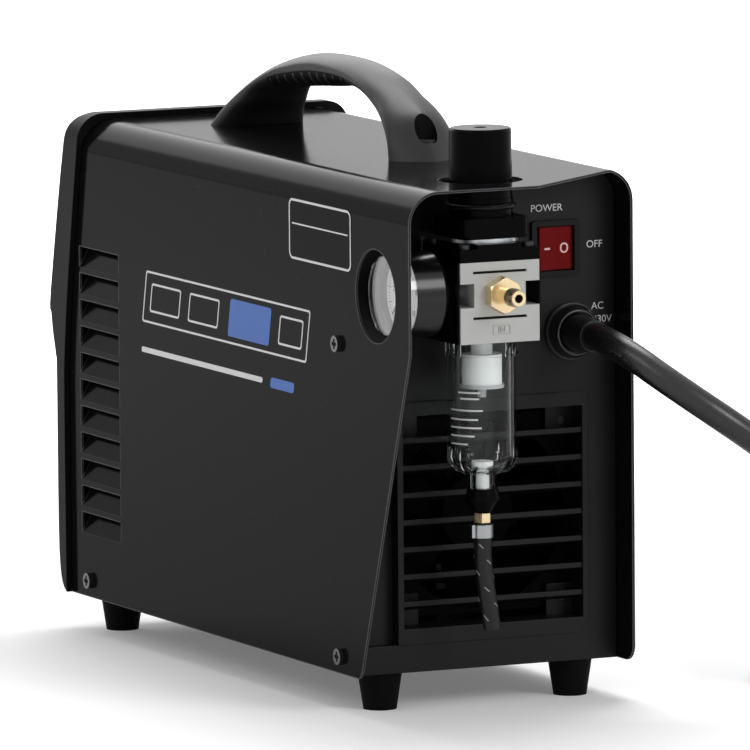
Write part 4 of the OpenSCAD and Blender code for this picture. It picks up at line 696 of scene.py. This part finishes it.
def makeArch():
    build = bmesh.new()
    bridgeRings(build, [[build.verts.new(handlePoint(i / handle["along"], 2 * math.pi * k / handle["around"]))
                         for k in range(handle["around"])] for i in range(handle["along"] + 1)])
    bmesh.ops.remove_doubles(build, verts=build.verts, dist=1e-6)
    arch = newPiece("handleArch", meshOf("handleArch", build), materials["handle_plastic"],
                    sharp=50)
    width, places, floor = handle["recess"]
    drillLong = 60
    build = bmesh.new()
    for y in places:
        turned = Matrix.Translation(Vector((0, y, handle["base"] + floor + drillLong / 2)) * mm)
        bmesh.ops.create_cone(build, cap_ends=True, segments=64, radius1=width / 2 * mm, radius2=width / 2 * mm,
                              depth=drillLong * mm, matrix=turned)
    cutter = bpy.data.objects.new("recessCutter", meshOf("recessCutter", build))
    scene.collection.objects.link(cutter)
    cut = arch.modifiers.new("recesses", "BOOLEAN")
    cut.operation, cut.solver, cut.object = "DIFFERENCE", "EXACT", cutter
    shape = bpy.data.meshes.new_from_object(arch.evaluated_get(bpy.context.evaluated_depsgraph_get()))
    arch.modifiers.clear()
    arch.data = shape
    bpy.data.objects.remove(cutter)
    shape.materials.clear()
    shape.materials.append(materials["handle_plastic"])
    shape.materials.append(materials["paintedShadeNylon"])
    # painted shade: faces inside the screw recesses take the near-black nylon
    for face in shape.polygons:
        near = min(math.hypot(face.center.x / mm, face.center.y / mm - y) for y in places)
        inside = near < width / 2 + 0.05 and abs(face.normal.z) < 0.2 or near < width / 2 - 0.3
        face.material_index = 1 if inside and face.center.z > (handle["base"] + 1) * mm else 0
    shape.shade_smooth()
    shape.set_sharp_from_angle(angle=math.radians(50))
    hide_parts("handle")


def makeRibs():
    # ribs that the fingers rest on, round the underside of the grip, over a coarser dark band of painted shade
    ribsSpan = handle["ribsTo"] - handle["ribsFrom"]
    first, run, steps = handle["bandSweep"]
    bandFrom, bandSpan = handle["ribsFrom"] - handle["bandSpare"], ribsSpan + 2 * handle["bandSpare"]
    build = bmesh.new()
    grid = []
    for i in range(handle["bandSteps"] + 1):
        share = bandFrom + bandSpan * i / handle["bandSteps"]
        angles = [math.radians(first + run * k / steps) for k in range(steps + 1)]
        grid.append([build.verts.new(handlePoint(share, angle, handle["bandHigh"])) for angle in angles])
    bridgeRings(build, grid, closed=False)
    newPiece("handleRibShadeBand", meshOf("handleRibShadeBand", build), materials["paintedShadeNylon"])
    first, run, steps = handle["ribSweep"]
    build = bmesh.new()
    for i in range(handle["ribs"]):
        share = handle["ribsFrom"] + ribsSpan * i / (handle["ribs"] - 1)
        rows = []
        for step, rise in handle["ribSection"]:
            row = []
            for k in range(steps + 1):
                angle = math.radians(first + run * k / steps)
                fade = min(1, 4 * min(k, steps - k) / steps + 0.05)  # a rib sinks in at both ends
                high = handle["ribHigh"] * (rise * fade if rise > 0 else rise)
                row.append(build.verts.new(handlePoint(share + step * handle["ribWide"] / 2, angle, high)))
            rows.append(row)
        bridgeRings(build, rows + rows[:1], closed=False)
        build.faces.new([row[0] for row in rows])
        build.faces.new([row[-1] for row in rows][::-1])
    newPiece("handleRibs", meshOf("handleRibs", build), materials["handle_plastic"])


makeArch()
makeRibs()
print("handle set")

prints = {
    "gap": 0.02,  # mm between a face and the ink on it
    "thick": 0.05,
}

sideLabel = {
    "face": 68.5,
    "middle": (109.2, 219.2),  # Y and Z
    "size": (69, 29.4),
    "corner": 4.2,
    "rimIn": 0.6,  # from the film's edge to the rim
    "rim": 1.1,
    "film": (0, 0.1),
    "ink": (0.1, 0.14),
    "divider": (61, 0.7, 0.3),  # length, height and corner
    "dividerUp": 2.6,
}


def makeSideLabel():
    width, height = sideLabel["size"]
    place = faceFrame((sideLabel["face"] + prints["gap"], *sideLabel["middle"]), (0, 1, 0), (0, 0, 1))
    build = bmesh.new()
    addSlab(build, place, roundedOutline(width, height, sideLabel["corner"]), *sideLabel["film"])
    newPiece("labelFilm", meshOf("labelFilm", build), materials["labelFilm"])
    build = bmesh.new()
    wide, high = width - 2 * sideLabel["rimIn"], height - 2 * sideLabel["rimIn"]
    outer, inner = (roundedOutline(wide - 2 * k, high - 2 * k, sideLabel["corner"] - 0.5 - k)
                    for k in (0, sideLabel["rim"]))
    addSlab(build, place, outer, *sideLabel["ink"], inner)
    divider = roundedOutline(*sideLabel["divider"], 3, middle=(0, sideLabel["dividerUp"]))
    addSlab(build, place, divider, *sideLabel["ink"])
    newPiece("labelRim", meshOf("labelRim", build), materials["inkWhite"])


makeSideLabel()

sideStripes = {
    "face": 68.5,
    "lean": 0.22,
    "corner": 1.6,
    # middle in Y, middle in Z, length, height, and the line's width where it is hollow
    "white": [(2.5, 170.3, 186, 25, 1.0), (-25, 144.6, 138, 2.6, 0)],
    "inner": [(-66, 170.3, 34, 14, 1.0), (-22, 170.3, 34, 14, 1.0), (76, 170.3, 26, 14, 1.0)],
    "blue": [(30, 170.3, 46, 18, 0), (66, 144.6, 26, 5, 0)],
}


def makeSideStripes():
    for name, ink, rows in (("stripesWhite", "inkWhite", sideStripes["white"] + sideStripes["inner"]),
                            ("stripesBlue", "inkBlue", sideStripes["blue"])):
        build = bmesh.new()
        for y, z, long, high, line in rows:
            place = faceFrame((sideStripes["face"] + prints["gap"], y, z), (0, 1, 0), (0, 0, 1))
            lean = sideStripes["lean"]
            radius = min(sideStripes["corner"], high / 2.2)
            inner = roundedOutline(long - 2 * line, high - 2 * line, radius - 0.4, lean=lean) if line else None
            addSlab(build, place, roundedOutline(long, high, radius, lean=lean), 0, prints["thick"], inner)
        newPiece(name, meshOf(name, build), materials[ink])


makeSideStripes()

rearPrint = {
    "face": 140,
    "capHeight": 3.3,
    # words, middle in X, middle in Z
    "words": [("powerWord", "POWER", -32.4, 229), ("offWord", "OFF", -56.8, 211), ("acWord", "AC", -58.3, 182.2),
              ("voltWord", "230V", -60.6, 176)],
}


def makeRearPrint():
    for name, words, x, z in rearPrint["words"]:
        place = faceFrame((x, rearPrint["face"] + prints["gap"], z), (-1, 0, 0), (0, 0, 1))
        addWords(name, words, rearPrint["capHeight"], place, materials["inkWhite"])


makeRearPrint()

rockerMarks = {
    "pivot": (-36.2, 137, 210.2),
    "turn": 7,  # degrees
    "valley": 3.4,  # mm from the pivot to the middle of the face
    "edge": (8.9, 4),  # where the face ends, beside and behind the pivot
    "out": 4.6,  # from the middle to each mark
    "thick": 0.06,
    # width, height and corner
    "line": (3.2, 0.9, 0.3),
    "ring": (4.2, 4.8, 2.0),
    "ringHole": (2.7, 3.3, 1.3),
}


def makeRockerMarks():
    pivot = Matrix.Translation(Vector(rockerMarks["pivot"]) * mm)
    turned = pivot @ Matrix.Rotation(math.radians(rockerMarks["turn"]), 4, "Z")
    reach, rise = rockerMarks["edge"][0], rockerMarks["edge"][1] - rockerMarks["valley"]
    build = bmesh.new()
    for side in (1, -1):
        out = rockerMarks["out"]
        middle = (side * out, rockerMarks["valley"] + rise * out / reach + 0.01, 0)
        place = turned @ faceFrame(middle, (-reach, -side * rise, 0), (0, 0, 1))
        if side > 0:
            addSlab(build, place, roundedOutline(*rockerMarks["line"], 3), 0, rockerMarks["thick"])
        else:
            outer, inner = (roundedOutline(*rockerMarks[k], 8) for k in ("ring", "ringHole"))
            addSlab(build, place, outer, 0, rockerMarks["thick"], inner)
    newPiece("rockerMarks", meshOf("rockerMarks", build), materials["inkPink"], "rocker")


makeRockerMarks()

inPlate = {
    "middle": (14.2, 189, 180.4),
    "size": (9.0, 4.6),
    "corner": 0.7,
    "rim": 0.5,
    "rimHeights": (-0.1, 0.35),
    "capHeight": 2.7,
    "wordThick": 0.4,
}


def makeInPlate():
    width, height = inPlate["size"]
    place = faceFrame(inPlate["middle"], (-1, 0, 0), (0, 0, 1))
    build = bmesh.new()
    outer, inner = (roundedOutline(width - 2 * k, height - 2 * k, inPlate["corner"] - k * 0.6)
                    for k in (0, inPlate["rim"]))
    addSlab(build, place, outer, *inPlate["rimHeights"], inner)
    newPiece("inPlateRim", meshOf("inPlateRim", build), materials["die_cast_silver"])
    addWords("inWord", "IN", inPlate["capHeight"], place, materials["die_cast_silver"],
             thick=inPlate["wordThick"])


makeInPlate()

bodyGrooves = {
    "middle": 15,
    "depthAt": 188.02,  # Y of the grooves' floor
    "heights": (186.2, 207.2),
    "shade": (26.6, 1.05, 0.4),  # length, height and corner of the dark strip in each
    "thick": 0.35,
}


def makeBodyGrooves():
    # painted shade: a dark strip on each groove's floor
    build = bmesh.new()
    for z in bodyGrooves["heights"]:
        place = faceFrame((bodyGrooves["middle"], bodyGrooves["depthAt"], z), (-1, 0, 0), (0, 0, 1))
        addSlab(build, place, roundedOutline(*bodyGrooves["shade"], 4), 0, bodyGrooves["thick"])
    newPiece("bodyGrooveShade", meshOf("bodyGrooveShade", build), materials["paintedShadeNylon"])


makeBodyGrooves()
print("prints set")

gaugeScale = {
    "middle": (53.22, 169, 196.7),
    "outer": 16.4,
    "long": (3.0, 0.45),  # length and width of a tick on a whole reading, and of the rest
    "short": (1.7, 0.22),
    "numberIn": 5.4,
    "capHeight": 2.4,
    "sweep": (225, -45),  # degrees, from the lowest to the highest reading
    "readings": 10,
}


def addTick(build, place, angle, inner, outer, width, low, high):
    along, across = Vector((math.cos(angle), math.sin(angle))), Vector((-math.sin(angle), math.cos(angle)))
    corners = [along * r + across * w for r, w in ((inner, -width / 2), (outer, -width / 2), (outer, width / 2),
                                                   (inner, width / 2))]
    addSlab(build, place, corners, low, high)


def makeGaugeScale():
    place = faceFrame(gaugeScale["middle"], (0, 1, 0), (0, 0, 1))
    outer = gaugeScale["outer"]
    first, last = (math.radians(a) for a in gaugeScale["sweep"])
    build = bmesh.new()
    count = gaugeScale["readings"] * 5
    for i in range(count + 1):
        angle = first + (last - first) * i / count
        long, wide = gaugeScale["short" if i % 5 else "long"]
        addTick(build, place, angle, outer - long, outer, wide, 0, prints["thick"])
    newPiece("gaugeTicks", meshOf("gaugeTicks", build), materials["inkBlack"])
    for i in range(0, gaugeScale["readings"] + 1, 2):
        angle = first + (last - first) * i / gaugeScale["readings"]
        radius = (outer - gaugeScale["numberIn"]) * mm
        spot = place @ Matrix.Translation((radius * math.cos(angle), radius * math.sin(angle), 0))
        addWords(f"gaugeNumber{i}", str(i), gaugeScale["capHeight"], spot, materials["inkBlack"], prints["thick"])


makeGaugeScale()

bowlMarks = {
    "axis": (15, 169),
    "radius": 15.9,
    # height of each line, and the angles it runs between, in degrees from +X towards +Y
    "lines": [(150.6, 22, 62), (147.8, 26, 60), (142.4, 2, 66), (138.2, 2, 58), (134.4, 2, 64), (130.6, 2, 52),
              (126.8, 2, 40)],
    "lineHeight": 0.8,
    "lineThick": 0.06,
    "steps": 10,
}


def makeBowlMarks():
    build = bmesh.new()
    cx, cy = bowlMarks["axis"]
    thick, steps = bowlMarks["lineThick"], bowlMarks["steps"]
    for z, first, last in bowlMarks["lines"]:
        rings = []
        for i in range(steps + 1):
            angle = math.radians(first + (last - first) * i / steps)
            ring = []
            for radius, rise in ((0, 0), (thick, 0), (thick, 1), (0, 1)):
                reach = bowlMarks["radius"] + radius
                ring.append(build.verts.new(Vector((cx + reach * math.cos(angle), cy + reach * math.sin(angle),
                                                    z + rise * bowlMarks["lineHeight"])) * mm))
            rings.append(ring)
        bridgeRings(build, rings)
    newPiece("bowlLevelLines", meshOf("bowlLevelLines", build), materials["inkWhite"])


makeBowlMarks()
print("gauge and bowl set")

controls = {
    "slopeFoot": (0, -192, 162),  # where the sloping face starts
    "slope": 13.22,  # degrees back from upright
    "knobUp": 38,
    "lightUp": 64,
    "lightsAt": (-16, 0, 16),
    "lightRing": (4.6, 4.1),  # radii
    "sweep": (240, -60),  # degrees, from the lowest to the highest setting
    "scale": (16.5, 19.5),  # radii of the ticks
    "ticks": 20,
    "tickWidths": (0.6, 0.35),
    "shorter": 1.2,  # how much the ticks between the numbers lack
    "numbersAt": 24,
    "numbers": 4,
    "capHeight": 2.6,
    "lowest": 20,
    "highest": 40,
    "bulge": 0.6,  # the moulded face stands this much proud of the flat slope
}


def slopeFrame(up):
    lean = math.radians(controls["slope"])
    y, z = controls["slopeFoot"][1] + up * math.sin(lean), controls["slopeFoot"][2] + up * math.cos(lean)
    return faceFrame((0, y, z), (1, 0, 0), (0, math.sin(lean), math.cos(lean)))


def makeControlPrint():
    place = slopeFrame(controls["knobUp"])
    first, last = (math.radians(a) for a in controls["sweep"])
    inner, outer = controls["scale"]
    bulge, count, steps = controls["bulge"], controls["ticks"], controls["numbers"]
    build = bmesh.new()
    for i in range(count + 1):
        between = i % (count // steps) > 0
        addTick(build, place, first + (last - first) * i / count, inner + between * controls["shorter"], outer,
                controls["tickWidths"][between], bulge - 0.3, bulge + 0.04)
    lights = slopeFrame(controls["lightUp"])
    turns = [2 * math.pi * k / 40 for k in range(40)]
    for x in controls["lightsAt"]:
        outline, hole = ([(x + r * math.cos(a), r * math.sin(a)) for a in turns] for r in controls["lightRing"])
        addSlab(build, lights, outline, 0.1, bulge, hole)
    newPiece("controlScale", meshOf("controlScale", build), materials["inkWhite"])
    radius = controls["numbersAt"] * mm
    for i in range(steps + 1):
        angle = first + (last - first) * i / steps
        value = controls["lowest"] + (controls["highest"] - controls["lowest"]) * i // steps
        spot = place @ Matrix.Translation((radius * math.cos(angle), radius * math.sin(angle),
                                           (bulge - prints["gap"]) * mm))
        addWords(f"controlNumber{value}", str(value), controls["capHeight"], spot, materials["inkWhite"])


makeControlPrint()
print("controls set")
